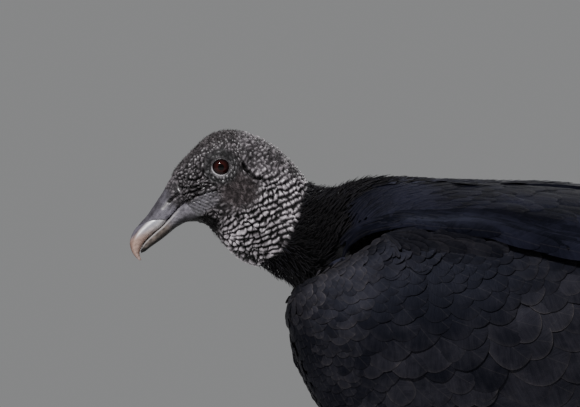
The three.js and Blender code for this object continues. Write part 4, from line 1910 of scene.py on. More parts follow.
    def build(self) -> None:
        """Makes every part of the skin and joins them."""
        parts = [self.cere(), self.mandible()]
        for side in SIDES.values():
            parts += [self.lid(side), self.wing_core(side), self.shoulder_core(side), self.arm(side)]
            parts += [self.thigh(side), self.shank(side)]
            parts += [self.toe(name, side) for name in TOES]
        skin = united("skin", self.torso(), parts)
        self.ease_jaw(skin)
        nodes = ["head", "neck", "trunk", "bill_upper", "bill_lower"]
        nodes += [f"{part}_{side}" for side in SIDES for part in ("thigh", "shank", "wing", "scapulars")]
        nodes += [f"toe_{toe}_{side}" for side in SIDES for toe in TOES]
        hand_over(smooth_shaded(skin), SkinFinish().material(), nodes)

    def ease_jaw(self, skin: bpy.types.Object) -> None:
        """Softens the crease where the lower bill runs into the cheek.

        Args:
            skin: the joined skin, which is changed.
        """
        mesh = bmesh.new()
        mesh.from_mesh(skin.data)
        top_x, top_z, low_x, low_z = LOWER_BILL.table[0, :4] * MM
        run, rise = low_x - top_x, low_z - top_z
        chosen = []
        for vertex in mesh.verts:
            x, y, z = vertex.co
            t = ((x - top_x) * run + (z - top_z) * rise) / (run * run + rise * rise)
            away = math.hypot(x - top_x - t * run, z - top_z - t * rise)
            if -0.15 < t < 1.3 and away < 3.2 * MM and (abs(y) > 2 * MM or t > 0.8):
                chosen.append(vertex)
        every_way = {"use_axis_x": True, "use_axis_y": True, "use_axis_z": True}
        for _ in range(8):
            bmesh.ops.smooth_vert(mesh, verts=chosen, factor=0.5, **every_way)
        mesh.to_mesh(skin.data)
        mesh.free()


@dataclass(frozen=True)
class SkinFinish:
    """Bare skin or horn, coloured by its sculpt and broken up by fine grain.

    Attributes:
        name: the material's name.
        roughness: its middle roughness.
        grain: height of the grain, in metres.
        blotch: how much the grain changes its colour.
        polish: roughness of its gloss, where it has any.
    """

    name: str = "bare_skin"
    roughness: float = 0.54
    grain: float = 0.0003
    blotch: float = 0.5
    polish: float = 0.3

    def material(self) -> bpy.types.Material:
        """Makes the material.

        Returns:
            The material.
        """
        constants = {"IOR": 1.42, "Specular IOR Level": 0.08, "Coat Roughness": self.polish}
        material, g, shader = new_material(self.name, constants)
        place, tinted = g.place(), g.attribute("tone").outputs
        coarse = g.noise(place, 260.0, 4.0)
        fine = g.noise(place, 1500.0)
        mottle = coarse * self.blotch + fine * (self.blotch * 0.7) + (1.0 - self.blotch * 0.85)
        varied = {
            "Base Color": Signal(g, tinted["Color"], True) * mottle,
            "Coat Weight": (Signal(g, tinted["Alpha"]) - 0.5) * 2.0,
            "Roughness": coarse * 0.25 + (self.roughness - 0.12),
            "Normal": g.bump(coarse * 0.5 + fine, self.grain),
        }
        g.feed(shader, varied)
        return material


# ---------------------------------------------------------------------------------------------------
# Bill tip, eyes and claws
# ---------------------------------------------------------------------------------------------------


@dataclass(frozen=True)
class ClawFinish:
    """Polished black horn, paler where a claw grows than at its tip.

    Attributes:
        pale: its colour where it grows.
        dark: its colour at the tip.
        fade: two heights in metres, at which it is pale and dark.
        roughness: its middle roughness.
    """

    pale: Colour = (0.035, 0.031, 0.029)
    dark: Colour = (0.014, 0.013, 0.013)
    fade: tuple[float, float] = (0.006, 0.001)
    roughness: float = 0.38

    def material(self) -> bpy.types.Material:
        """Makes the material.

        Returns:
            The material.
        """
        material, g, shader = new_material("claw", {"IOR": 1.54, "Coat Roughness": 0.2, "Coat Weight": 0.15})
        place = g.place()
        _, _, level = place.split()
        drawn_out = g.add("ShaderNodeMapping", {}, {"Vector": place, "Scale": (300.0, 300.0, 60.0)})
        streak = g.noise(drawn_out.outputs[0], 1.0)
        fine = g.noise(place, 900.0, 4.0)
        share = (level + (streak - 0.5) * 0.006).eased(*self.fade)
        varied = {
            "Base Color": g.mix(share, self.pale, self.dark) * (streak * 0.4 + fine * 0.3 + 0.65),
            "Roughness": fine * 0.3 + (self.roughness - 0.1),
            "Normal": g.bump(streak + fine * 0.4, 0.0002),
        }
        g.feed(shader, varied)
        return material


@dataclass
class Hook:
    """The horn of the upper bill, with a thick edge where it comes out of the soft base."""

    rows: int = 80
    columns: int = 80
    rise: float = 0.3
    edge_depth: float = 1.1
    root_tone: Colour = (0.42, 0.4, 0.41)
    middle_tone: Colour = (0.36, 0.235, 0.19)
    tip_tone: Colour = (0.4, 0.29, 0.26)
    ridge_tone: Colour = (0.055, 0.05, 0.066)
    stain_tone: Colour = (0.07, 0.035, 0.028)
    highlight_line_tone: Colour = (0.75, 0.74, 0.76)
    band_tone: Colour = (0.17, 0.18, 0.23)

    def start(self, v: Array) -> Array:
        """The station where the horn starts, for each angle.

        Args:
            v: (N,) angles.

        Returns:
            (C,) stations.
        """
        tries = np.linspace(0.5, 6.5, 400)
        u, angle = np.meshgrid(tries, v, indexing="ij")
        p = UPPER_BILL.point(u.ravel(), angle.ravel()).reshape(*u.shape, 3)
        return tries[np.argmax(past_horn_edge(p[..., 0], p[..., 2]) > 0, axis=0)]

    def tones(self, p: Array, u: Array, angle: Array, share: Array) -> Array:
        """Colours of the horn: pale at its root, warm along its side, dark on its ridge, with a painted
        highlight line along its upper flank.

        Args:
            p: (N, 3) places.
            u: their stations along the bill.
            angle: their angles round it.
            share: how far from the horn's edge to its tip they are, 0 to 1.

        Returns:
            (N, 3) colours.
        """
        away = from_top(angle)
        tone = np.array(self.root_tone) + np.zeros_like(p)
        low = smoothstep(0.25, 0.5, share)
        layers = (
            (smoothstep(0.05, 0.5, share), self.middle_tone),
            (smoothstep(0.75, 1.0, share), self.tip_tone),
            (bell(away - 1.5, 0.2) * (1 - low) * 0.6, self.band_tone),
            # Painted highlight: a thin, very pale line along the horn's upper flank.
            (bell(away - 1.28, 0.1) * (1 - low) * 0.9, self.highlight_line_tone),
            (self.crest(angle) * (1 - low) * 0.95, self.ridge_tone),
            (bell(away, 1.0) * low * (1 - 0.6 * smoothstep(0.85, 1.0, share)), self.stain_tone),
        )
        for weight, colour in layers:
            tone = between(tone, colour, weight)
        cut = bell(u - 9, 0.15) * 0.3 + smoothstep(0.3, -0.4, np.cos(angle)) * 0.25
        streak = value_noise(np.stack([u * 1.2, angle * 5, angle * 0], axis=-1), 103)
        speck = 0.95 + 0.16 * streak + 0.08 * value_noise(p / 0.8, 104)
        return tone * (1 - cut)[:, None] * speck[:, None]

    def crest(self, angle: Array) -> Array:
        """Share of each place that is the bill's ridge."""
        return smoothstep(1.2, 0.9, from_top(angle))

    def build(self) -> None:
        """Makes the horn."""
        v = whole_turn(self.columns)
        start = self.start(v)
        share = np.linspace(0, 1, self.rows)[:, None] + np.zeros((1, self.columns))
        u = (start + (9 - start) * share).ravel()
        angle = np.broadcast_to(v, share.shape).ravel()
        share = share.ravel()
        _, _, _, n = UPPER_BILL.frame(np.clip(u, 0, 8.97), angle)
        p = UPPER_BILL.point(u, angle)
        swell = 0.12 * value_noise(p / 5, 101) + 0.05 * np.sin(share * 60)
        tone = self.tones(p, u, angle, share).reshape(self.rows, self.columns, 3)
        height = (self.rise + swell) * smoothstep(1.0, 0.93, share) * smoothstep(0.0, 0.05, share)
        p = p + n * height[:, None]
        rows = p.reshape(tone.shape)
        root = rows[0] - n.reshape(rows.shape)[0] * self.edge_depth
        rows, tone = np.concatenate([root[None], rows]), np.concatenate([tone[:1] * 0.5, tone])
        gloss = np.broadcast_to(0.15 + 0.75 * smoothstep(0.6, 1.5, from_top(v)), tone.shape[:2])
        item = smooth_shaded(tube("bill_tip", rows, tone, gloss))
        hand_over(item, SkinFinish("horn", 0.4, 0.00005, 0.2, 0.25).material(), ["bill_hook"])


@dataclass(frozen=True)
class EyeFinish:
    """A dark brown iris round a black pupil, under a wet clear front."""

    pupil: float = 2.0
    softness: float = 0.2
    pupil_tone: Colour = (0.0015, 0.0015, 0.0015)
    iris_tone: Colour = (0.022, 0.0045, 0.0038)
    edge_tone: Colour = (0.006, 0.002, 0.002)

    def material(self) -> bpy.types.Material:
        """Makes the material.

        Returns:
            The material.
        """
        constants = {
            "IOR": 1.38,
            "Roughness": 0.3,
            "Specular IOR Level": 0.0,
            "Coat Weight": 0.6,
            "Coat Roughness": 0.03,
            "Coat IOR": 1.3,
        }
        material, g, shader = new_material("eye", constants)
        x, _, z = g.place().split()
        dx, dz = x - EYE_CENTRE[0] * MM, z - EYE_CENTRE[2] * MM
        away = (dx * dx + dz * dz).function("SQRT") * (1 / MM)
        streak = g.noise(g.joined(dz.function("ARCTAN2", dx) * 9.0, away * 0.5, 0.0), 1.0, 4.0)
        iris = g.mix(away.eased(2.2, 4.9), self.iris_tone, self.edge_tone) * (streak * 1.3 + 0.35)
        ring = away.eased(self.pupil - self.softness, self.pupil + self.softness)
        g.feed(shader, {"Base Color": g.mix(ring, self.pupil_tone, iris)})
        return material


@dataclass
class Eyes:
    """Eyeballs as deep as real ones, of which the lids leave a round window."""

    rings: int = 44
    columns: int = 64
    cornea: float = 0.5

    def build(self) -> None:
        """Makes both eyes."""
        material = EyeFinish().material()
        for name, side in SIDES.items():
            down, around = rings(0.02, math.pi - 0.02, self.rings, self.columns)
            radius = EYE_RADIUS + self.cornea * bell(down, 0.5)
            x = EYE_CENTRE[0] + radius * np.sin(down) * np.cos(around)
            z = EYE_CENTRE[2] + radius * np.sin(down) * np.sin(around)
            y = side * (EYE_CENTRE[1] + radius * np.cos(down))
            item = smooth_shaded(tube(f"eyeball_{name}", np.stack([x, y, z], axis=-1)))
            hand_over(item, material, [f"eye_{name}"])


@dataclass
class Claws:
    """Blunt black claws, curved down from the ends of the toes."""

    curl: float = 1.15
    squat: float = 0.62
    floor: float = 0.05
    rows: int = 26
    columns: int = 22
    finish: ClawFinish = ClawFinish()

    def claw(self, toe: Toe, side: int) -> Array:
        """Rings of one claw.

        Args:
            toe: the toe that carries it.
            side: -1 on the bird's left and 1 on its right.

        Returns:
            (R, C, 3) places.
        """
        ahead, across = toe.axes(side)
        up = np.array([0, 0, 1.0])
        share = np.linspace(0, 1, self.rows)
        bend = share * self.curl
        start = np.array([FOOT_X, side * LEG_Y, 0.0]) + (toe.length - 3.5) * ahead
        run = toe.claw * np.sin(bend) / self.curl
        level = 5.2 - toe.claw * (1 - np.cos(bend)) * self.squat / self.curl
        line = start + run[:, None] * ahead + level[:, None] * up
        radius = (2.7 * (1 - share) ** 0.8 + 0.35)[:, None, None]
        v = whole_turn(self.columns)
        back = unit(ahead * np.sin(bend)[:, None] * self.squat + up * np.cos(bend)[:, None])
        ridge = 1 + 0.12 * np.maximum(np.cos(v), 0) ** 2
        places = line[:, None, :] + across * (np.sin(v) * 0.92)[None, :, None] * radius
        places = places + back[:, None, :] * (np.cos(v) * ridge)[None, :, None] * radius
        places[..., 2] = np.maximum(places[..., 2], self.floor)
        return places

    def build(self) -> None:
        """Makes the eight claws."""
        material = self.finish.material()
        for side_name, side in SIDES.items():
            for toe_name, toe in TOES.items():
                item = smooth_shaded(tube(f"nail_{toe_name}_{side_name}", self.claw(toe, side)))
                hand_over(item, material, [f"claw_{toe_name}_{side_name}"])


# ---------------------------------------------------------------------------------------------------
# Plumage
# ---------------------------------------------------------------------------------------------------


@dataclass(frozen=True)
class PlumageFinish:
    """Black feathers with a cool gloss, fine barbs and pale edges, partly worn brown and partly a painted
    highlight.

    Attributes:
        name: the material's name.
        deep: the darkest feathers' colour, whose blue cast is partly a painted sheen.
        pale: the palest feathers' colour, whose blue cast is partly a painted sheen.
        edge: colour of a pale edge, partly worn and partly a painted highlight.
        edge_wear_and_highlight: how strong those pale edges are.
        gloss: roughness of the vane.
        barbs: how high the barbs stand, in metres.
        shine: strength of the gloss.
    """

    name: str
    deep: Colour = (0.002, 0.0021, 0.0033)
    pale: Colour = (0.0096, 0.0092, 0.0118)
    edge: Colour = (0.08, 0.07, 0.066)
    edge_wear_and_highlight: float = 0.6
    gloss: float = 0.46
    barbs: float = 0.00012
    shine: float = 0.1

    def material(self) -> bpy.types.Material:
        """Makes the material.

        Returns:
            The material.
        """
        constants = {"IOR": 1.5, "Specular IOR Level": self.shine, "Specular Tint": (0.62, 0.67, 1.0, 1.0)}
        material, g, shader = new_material(self.name, constants)
        across, along, tint = Signal(g, g.attribute("lay").outputs["Vector"], True).split()
        rim = Signal(g, g.attribute("rim").outputs["Fac"])
        off_shaft = across.function("ABSOLUTE")
        slant = along - off_shaft * 0.85
        barb = g.noise(g.joined(slant * 1.9, across * 0.1, tint * 57.0), 1.0)
        clump = g.noise(g.joined(slant * 0.35, across * 0.12, tint * 91.0), 1.0, 2.0)
        place = g.place()
        patches = g.noise(place, 38.0, 4.0, 0.6).eased(0.38, 0.68)
        body = g.mix((tint * 0.6 + clump * 0.5 + patches * 0.35 - 0.25).eased(0.0, 1.0), self.deep, self.pale)
        body = body * (barb * 0.9 + 0.55)
        rough = g.noise(place, 420.0, 3.0, 0.7).eased(0.5, 0.72)
        # Pale rims: partly worn brown edges, partly a painted highlight where the feather margins catch
        # light.
        fray = (0.8 - rim).eased(0.0, 0.45) * (clump * 2.0 - 0.55) * tint.eased(0.35, 1.0) * (patches + 0.3)
        fade = (3.4 - rim).eased(0.0, 3.2) * (tint * 0.07 + 0.01)
        worn_and_lit_edge = (fray * 0.55 + fade + rough * patches * 0.12 * tint) * self.edge_wear_and_highlight
        colour = g.mix(worn_and_lit_edge.function("MAXIMUM", 0.0).function("MINIMUM", 1.0), body, self.edge)
        quill = (0.3 - off_shaft).eased(0.0, 0.15)
        varied = {
            "Base Color": g.mix(quill * (clump * 0.14), colour, self.edge),
            "Roughness": barb * 0.22 + (self.gloss - 0.11),
            "Normal": g.bump(barb + clump * 0.8, self.barbs),
        }
        g.feed(shader, varied)
        return material


@dataclass(frozen=True)
class VaneShape:
    """The outline of a feather, from root to tip.

    Attributes:
        name: what the feather is.
        along: places from root to tip, 0 to 1.
        width: half width at each place, 0 to 1.
        columns: points across its face.
        frays: for each variant, places and depths of dents in its left and right edges.
        lean: how much of its width moves from its left vane to its right one.
    """

    name: str
    along: tuple[float, ...]
    width: tuple[float, ...]
    columns: int = 5
    frays: tuple[Fray, ...] = ((), ((0.62, 0.2), (-0.8, 0.25)), ((-0.55, 0.25), (0.86, 0.3)))
    lean: float = 0.0

    def outline(self, fray: Fray, columns: Array) -> tuple[Array, Array]:
        """Where the vertices of one variant lie on the vane.

        Args:
            fray: the splits of its edge.
            columns: (C,) places across the vane, -1 to 1.

        Returns:
            Rows of places and rows of the same places on the unsplit vane.
        """
        rows, raw = [], []
        for t, w in zip(self.along, self.width):
            left = w * (1 - sum(d * float(bell(np.array(t + p), 0.05)) for p, d in fray if p < 0))
            right = w * (1 - sum(d * float(bell(np.array(t - p), 0.05)) for p, d in fray if p > 0))
            reach = np.where(columns < 0, left * (1 - self.lean), right * (1 + self.lean))
            rows.append([(u * r, t, 1.0) for u, r in zip(columns, reach)] + [(0.0, t, 0.0)])
            raw.append([(u, r, 0.0) for u, r in zip(columns, reach)] + [(0.0, w, 0.0)])
        grid = np.array(rows)
        grid[:, (0, self.columns - 1), 2] = 0.25
        return grid, np.array(raw)

    def meshes(self) -> bpy.types.Collection:
        """One closed mesh for each variant, its vertices marked with where they lie on the vane.

        Returns:
            A collection that holds them.
        """
        family = bpy.data.collections.new(f"vane_{self.name}")
        for number, fray in enumerate(self.frays):
            grid, raw = self.outline(fray, np.linspace(-1, 1, self.columns))
            count, sides = grid.shape[:2]
            faces = ring_faces(count, sides).tolist()
            faces.append(list(range(sides))[::-1])
            faces.append([(count - 1) * sides + c for c in range(sides)])
            flat = grid.reshape(-1, 3)
            item = new_object(f"{family.name}_{number}", flat / MM, outward(flat, faces))
            set_attribute(item, "unit", "FLOAT_VECTOR", flat)
            set_attribute(item, "raw", "FLOAT_VECTOR", raw.reshape(-1, 3))
            bpy.context.scene.collection.objects.unlink(item)
            family.objects.link(item)
        return family


class VaneKind(Enum):
    """The kinds of feather."""

    BRISTLE = VaneShape("bristle", (0, 0.5, 1), (1, 0.6, 0.1), 2, ((),))
    PLUME = VaneShape("plume", (0, 0.35, 0.7, 0.9, 1), (0.5, 1, 0.85, 0.45, 0.08), 3, ((), ((0.7, 0.3),)))
    BODY = VaneShape(
        "body", (0, 0.25, 0.5, 0.7, 0.83, 0.92, 0.97, 1), (0.4, 0.8, 1, 0.96, 0.8, 0.55, 0.3, 0.07)
    )
    COVERT = VaneShape(
        "covert",
        (0, 0.25, 0.45, 0.6, 0.72, 0.81, 0.88, 0.93, 0.967, 0.99, 1),
        (0.4, 0.75, 0.93, 1, 0.98, 0.91, 0.79, 0.63, 0.45, 0.25, 0.05),
        7,
        ((), ((0.8, 0.05),), ((-0.7, 0.06),)),
    )
    REMEX = VaneShape(
        "remex",
        (0, 0.08, 0.16, 0.25, 0.35, 0.45, 0.55, 0.62, 0.7, 0.77, 0.83, 0.88, 0.92, 0.95, 0.975, 0.99, 1),
        (0.2, 0.5, 0.75, 0.88, 0.95, 0.99, 1, 1, 0.98, 0.95, 0.9, 0.82, 0.7, 0.55, 0.36, 0.2, 0.06),
        9,
        ((), ((0.74, 0.07),), ((-0.68, 0.08), (0.9, 0.06))),
        0.12,
    )


class VaneTree:
    """A Geometry Nodes tree that grows a vane on each point, bent along the point's own curve."""

    def __init__(self) -> None:
        """Makes the tree's inputs and then its nodes."""
        self.group = bpy.data.node_groups.new("vanes", "GeometryNodeTree")
        self.graph = Graph(self.group)
        self.identifiers: dict[str, str] = {}
        for name, kind in (
            ("Points", "NodeSocketGeometry"),
            ("Vanes", "NodeSocketCollection"),
            ("Finish", "NodeSocketMaterial"),
            ("Thickness", "NodeSocketFloat"),
            ("Camber", "NodeSocketFloat"),
            ("Ruffle", "NodeSocketFloat"),
            ("Seed", "NodeSocketInt"),
        ):
            made = self.group.interface.new_socket(name, in_out="INPUT", socket_type=kind)
            self.identifiers[name] = made.identifier
        self.group.interface.new_socket("Coat", in_out="OUTPUT", socket_type="NodeSocketGeometry")
        self.build()

    def bezier(self, names: Sequence[str], t: Signal) -> Signal:
        """A point on the cubic through four named control points.

        Args:
            names: the attributes that hold the control points.
            t: places from root to tip, 0 to 1.

        Returns:
            The point.
        """
        g, back = self.graph, 1.0 - t
        a, b, c, d = (g.named(name) for name in names)
        near = a * (back * back * back) + b * (t * back * back * 3.0)
        return near + c * (t * t * back * 3.0) + d * (t * t * t)

    def blended(self, low: str, high: str, t: Signal) -> Signal:
        """A unit vector between two named ones.

        Args:
            low: the attribute at the root.
            high: the attribute at the tip.
            t: places from root to tip, 0 to 1.

        Returns:
            The vector.
        """
        mixed = self.graph.named(low) * (1.0 - t) + self.graph.named(high) * t
        node = self.graph.add("ShaderNodeVectorMath", {"operation": "NORMALIZE"}, {0: mixed})
        return Signal(self.graph, node.outputs[0], True)

    def build(self) -> None:
        """Lays out the nodes."""
        g = self.graph
        inputs = g.add("NodeGroupInput").outputs
        family = g.add(
            "GeometryNodeCollectionInfo",
            {},
            {"Collection": inputs["Vanes"], "Separate Children": True, "Reset Children": True},
        )
        placed = g.add(
            "GeometryNodeInstanceOnPoints",
            {},
            {
                "Points": inputs["Points"],
                "Instance": family.outputs[0],
                "Pick Instance": True,
                "Instance Index": g.named("variant", "INT"),
            },
        )
        solid = g.add("GeometryNodeRealizeInstances", {}, {0: placed.outputs[0]})
        x, t, h = g.named("unit").split()
        u, wide, _ = g.named("raw").split()
        half, length = g.named("half", "FLOAT"), g.named("length", "FLOAT")
        spine = self.bezier(("c0", "c1", "c2", "c3"), t)
        side, normal = self.blended("side0", "side1", t), self.blended("n0", "n1", t)
        thickness, camber = Signal(g, inputs["Thickness"]), Signal(g, inputs["Camber"])
        tint = g.named("tint", "FLOAT")
        folds = {"Vector": g.joined(t * 3.0, x * 1.5, tint * 83.0), "W": Signal(g, inputs["Seed"]) * 1.0}
        noise = {**folds, "Scale": 1.0, "Detail": 1.0}
        ruffle = g.add("ShaderNodeTexNoise", {"noise_dimensions": "4D"}, noise)
        wobble = (Signal(g, ruffle.outputs[0]) - 0.5) * Signal(g, inputs["Ruffle"]) * half * t
        rise = h * thickness - x * x * (half * camber + g.named("sag", "FLOAT")) + wobble
        place = spine + side * (x * half) + normal * rise
        moved = g.add("GeometryNodeSetPosition", {}, {"Geometry": solid.outputs[0], "Position": place})

        lay = g.joined(x * half * (1 / MM), t * length * (1 / MM), tint)
        to_edge, to_tip = (1.0 - u.function("ABSOLUTE")) * wide * half, (1.0 - t) * length
        rim = to_edge.function("MINIMUM", to_tip) * (1 / MM)
        stored = self.store(moved.outputs[0], "lay", "FLOAT_VECTOR", "POINT", lay)
        stored = self.store(stored, "rim", "FLOAT", "POINT", rim)
        patch = g.named("patch", "FLOAT")
        bake = g.named("root_uv") + g.joined((u * 0.5 + 0.5) * patch, t * patch, 0.0)
        stored = self.store(stored, "OFBake", "FLOAT2", "CORNER", bake)
        smooth = g.add("GeometryNodeSetShadeSmooth", {}, {"Geometry": stored})
        coated = {"Geometry": smooth.outputs[0], "Material": inputs["Finish"]}
        finished = g.add("GeometryNodeSetMaterial", {}, coated)
        g.add("NodeGroupOutput", {}, {0: finished.outputs[0]})

    def store(
        self, geometry: bpy.types.NodeSocket, name: str, kind: str, domain: str, value: Any
    ) -> bpy.types.NodeSocket:
        """Stores a named attribute.

        Args:
            geometry: the geometry so far.
            name: the attribute's name.
            kind: its type.
            domain: POINT or CORNER.
            value: what is stored.

        Returns:
            The geometry with it.
        """
        node = self.graph.add(
            "GeometryNodeStoreNamedAttribute",
            {"data_type": kind, "domain": domain},
            {"Geometry": geometry, "Name": name, "Value": value},
        )
        return node.outputs[0]

    def grow(
        self, name: str, points: "Feathers", family: bpy.types.Collection, look: "Layer"
    ) -> bpy.types.Object:
        """Grows one layer of feathers.

        Args:
            name: the piece's name.
            points: where its feathers are.
            family: the shapes to choose from.
            look: its finish and thickness.

        Returns:
            A plain mesh piece.
        """
        source = points.as_object(name + "_points", len(family.objects))
        modifier = source.modifiers.new("vanes", "NODES")
        modifier.node_group = self.group
        values = {
            "Vanes": family,
            "Finish": look.material,
            "Thickness": look.thickness * MM,
            "Camber": look.camber,
            "Ruffle": look.ruffle,
            "Seed": look.seed,
        }
        for key, value in values.items():
            modifier[self.identifiers[key]] = value
        result = evaluated(source, name)
        bpy.data.objects.remove(source)
        kept = {"lay", "rim", "OFBake", "position", "material_index", "sharp_face"}
        found = [each.name for each in result.data.attributes if not each.name.startswith(".")]
        for spare in [each for each in found if each not in kept]:
            result.data.attributes.remove(result.data.attributes[spare])
        result.data.set_sharp_from_angle(angle=math.radians(55))
        if "OFBake" in result.data.uv_layers:
            result.data.uv_layers.active = result.data.uv_layers["OFBake"]
        return result


@dataclass(frozen=True)
class Layer:
    """How one layer of feathers is dressed.

    Attributes:
        material: its finish.
        thickness: how thick a vane is, in millimetres.
        camber: how far a vane's edges bend down, as a share of its half width.
        ruffle: how far its face waves, as a share of its half width.
        seed: which waves.
    """

    material: bpy.types.Material
    thickness: float
    camber: float
    ruffle: float
    seed: int


Heading = Callable[[Array], Array]


class Feathers:
    """Curves and sizes of feathers that wait to be grown."""

    def __init__(self, rng: np.random.Generator) -> None:
        """Starts with no feathers and the draws that place them.

        Args:
            rng: the draws that place them.
        """
        self.rng = rng
        self.parts: list[dict[str, Array]] = []
        self.walked = np.zeros((0, 2))

    def march(
        self, surface: Surface, uv: Array, heading: Heading, step: Array, turn: Array
    ) -> tuple[Array, Array]:
        """Walks over a surface and notes four places.

        Args:
            surface: what is walked on.
            uv: (N, 2) where each walk starts.
            heading: which way is wanted at each place.
            step: (N,) length of a step, less than 0 to walk backwards.
            turn: (N,) angle off the heading.

        Returns:
            (4, N, 3) places and (4, N, 3) normals.
        """
        places, normals = [], []
        uv = uv.copy()
        for leg in range(4):
            p, du, dv, n = surface.frame(uv[:, 0], uv[:, 1])
            places.append(p)
            normals.append(n)
            if leg == 2:
                self.walked = uv.copy()
            if leg == 3:
                break
            wanted = heading(p)
            flat = unit(wanted - n * dot(wanted, n))
            flat = turned(flat, n, turn)
            a, b, c = dot(du, du)[:, 0], dot(du, dv)[:, 0], dot(dv, dv)[:, 0]
            e, f = dot(flat, du)[:, 0], dot(flat, dv)[:, 0]
            scale = step / np.maximum(a * c - b * b, 1e-9)
            uv = uv + np.stack([(e * c - f * b) * scale, (f * a - e * b) * scale], axis=-1)
        return np.array(places), np.array(normals)

    def lay(
        self,
        surface: Surface,
        uv: Array,
        heading: Heading,
        length: Array,
        half: Array,
        lift: Sequence[float] | Array,
        turn: Array | None = None,
        roll: float | Array = 0.07,
        from_tip: bool = False,
        tint: Array | None = None,
        patch: float = 0.003,
    ) -> None:
        """Lays feathers on a surface.

        Args:
            surface: what they lie on.
            uv: (N, 2) their roots, or their tips.
            heading: which way they point.
            length: (N,) their lengths.
            half: (N,) half their widths.
            lift: heights over the surface at four places from root to tip.
            turn: (N,) angles off the heading.
            roll: tilt about their own length.
            from_tip: whether uv are their tips.
            tint: (N,) shades from 0 to 1.
            patch: size of each feather's patch of the bake map.
        """
        count = len(uv)
        turn = np.zeros(count) if turn is None else turn
        step = length / 3 * (-1 if from_tip else 1)
        places, normals = self.march(surface, uv, heading, step, turn)
        ends = self.walked
        if from_tip:
            places, normals = places[::-1], normals[::-1]
        lifts = np.asarray(lift, float)
        lifts = lifts[:, None] if lifts.ndim == 1 else lifts
        places = places + normals * np.broadcast_to(lifts, (4, count))[..., None]
        root = surface.unwrap(uv[:, 0], uv[:, 1])
        sag = self.sag(surface, places, normals, ends, half)
        self.add(places, normals[0], normals[3], length, half, roll, tint, root, patch, sag)

    def sag(self, surface: Surface, places: Array, normals: Array, ends: Array, half: Array) -> Array:
        """How far the surface falls away under the edges of feathers that lie on it, in millimetres.

        Args:
            surface: what they lie on.
            places: (4, N, 3) places along each feather.
            normals: (4, N, 3) normals of the surface there.
            ends: (N, 2) coordinates of the places where the fall is measured.
            half: half widths, in millimetres.

        Returns:
            (N,) depths.
        """
        along = unit(places[3] - places[1])
        half = np.broadcast_to(half, (len(ends),))
        falls = []
        middle = surface.point(ends[:, 0], ends[:, 1])
        for hand in (-1.0, 1.0):
            wanted = np.cross(along, normals[2]) * hand
            out, _ = self.march(surface, ends, lambda p, w=wanted: w, half / 3, np.zeros(len(ends)))
            falls.append(dot(middle - out[3], normals[2])[:, 0])
        return np.clip((falls[0] + falls[1]) / 2, -0.1 * half, 0.3 * half)

    def add(
        self,
        places: Array,
        n0: Array,
        n1: Array,
        length: Array,
        half: Array,
        roll: float | Array,
        tint: Array | None,
        root_uv: Array,
        patch: float,
        sag: float | Array = 0.0,
    ) -> None:
        """Adds feathers whose middles pass through four places each.

        Args:
            places: (4, N, 3) places.
            n0: (N, 3) normals at the roots.
            n1: (N, 3) normals at the tips.
            length: (N,) lengths.
            half: half widths, in millimetres.
            roll: how far each is turned about its own middle.
            tint: (N,) shares of wear, or none for drawn ones.
            root_uv: (N, 2) corners of their patches in the map.
            patch: how large each patch is.
            sag: how far their edges fall away.
        """
        count = places.shape[1]
        p0, p1, p2, p3 = places
        c1 = (-5 * p0 + 18 * p1 - 9 * p2 + 2 * p3) / 6
        c2 = (2 * p0 - 9 * p1 + 18 * p2 - 5 * p3) / 6
        ends = []
        tilt = np.broadcast_to(np.asarray(roll, float), (count,))
        for along, n in ((unit(c1 - p0), n0), (unit(p3 - c2), n1)):
            n = unit(n - along * dot(n, along))
            n = turned(n, along, tilt)
            ends.append((np.cross(along, n), n))
        (side0, m0), (side1, m1) = ends
        self.parts.append(
            {
                "c0": p0 * MM,
                "c1": c1 * MM,
                "c2": c2 * MM,
                "c3": p3 * MM,
                "side0": side0,
                "side1": side1,
                "n0": m0,
                "n1": m1,
                "half": np.broadcast_to(half, (count,)) * MM,
                "length": np.broadcast_to(length, (count,)) * MM,
                "sag": np.broadcast_to(sag, (count,)) * MM,
                "tint": self.rng.random(count) if tint is None else tint,
                "root_uv": np.concatenate([root_uv, np.zeros((count, 1))], axis=1),
                "patch": np.full(count, patch),
            }
        )

    def as_object(self, name: str, variants: int) -> bpy.types.Object:
        """A mesh of bare points that carry the feathers' numbers.

        Args:
            name: its name.
            variants: how many shapes there are to choose from.

        Returns:
            The points.
        """
        keys = self.parts[0].keys()
        data = {key: np.concatenate([part[key] for part in self.parts]) for key in keys}
        item = new_object(name, data["c0"] / MM, [])
        for key, values in data.items():
            set_attribute(item, key, "FLOAT_VECTOR" if values.ndim == 2 else "FLOAT", values)
        made = item.data.attributes.new("variant", "INT", "POINT")
        made.data.foreach_set("value", self.rng.integers(0, variants, len(data["half"])).astype(np.int32))
        return item


BODY_FLOW = Flow(
    (
        (-160, 292, 30), (-150, 300, 12), (-162, 266, 22), (-172, 246, -38), (-150, 247, 8),
        (-139, 266, 44), (-126, 281, 34), (-105, 290, 18), (-88, 292, 9), (-50, 296, 0), (0, 297, -2),
        (60, 288, -10), (110, 273, -18), (150, 255, -24), (190, 235, -26), (-160, 205, -62),
        (-148, 175, -52), (-125, 150, -36), (-80, 138, -14), (-20, 130, -4), (40, 136, 6),
        (90, 152, 14), (150, 185, 22), (200, 212, 16), (-120, 250, -10), (-100, 215, -30),
        (-40, 210, -18), (40, 210, -10), (120, 210, -4),
    )
)
WING_FLOW = Flow(
    (
        (-150, 232, -48), (-168, 205, -62), (-160, 170, -66), (-125, 125, -45), (-112, 258, -35),
        (-90, 210, -48), (-100, 165, -48), (-40, 262, -14), (-40, 215, -34), (-50, 150, -34),
        (10, 240, -12), (5, 190, -22), (0, 130, -20), (80, 220, -16), (80, 170, -12), (80, 125, -6),
        (150, 200, -18), (150, 160, -8), (170, 140, 4), (248, 158, -4),
    )
)
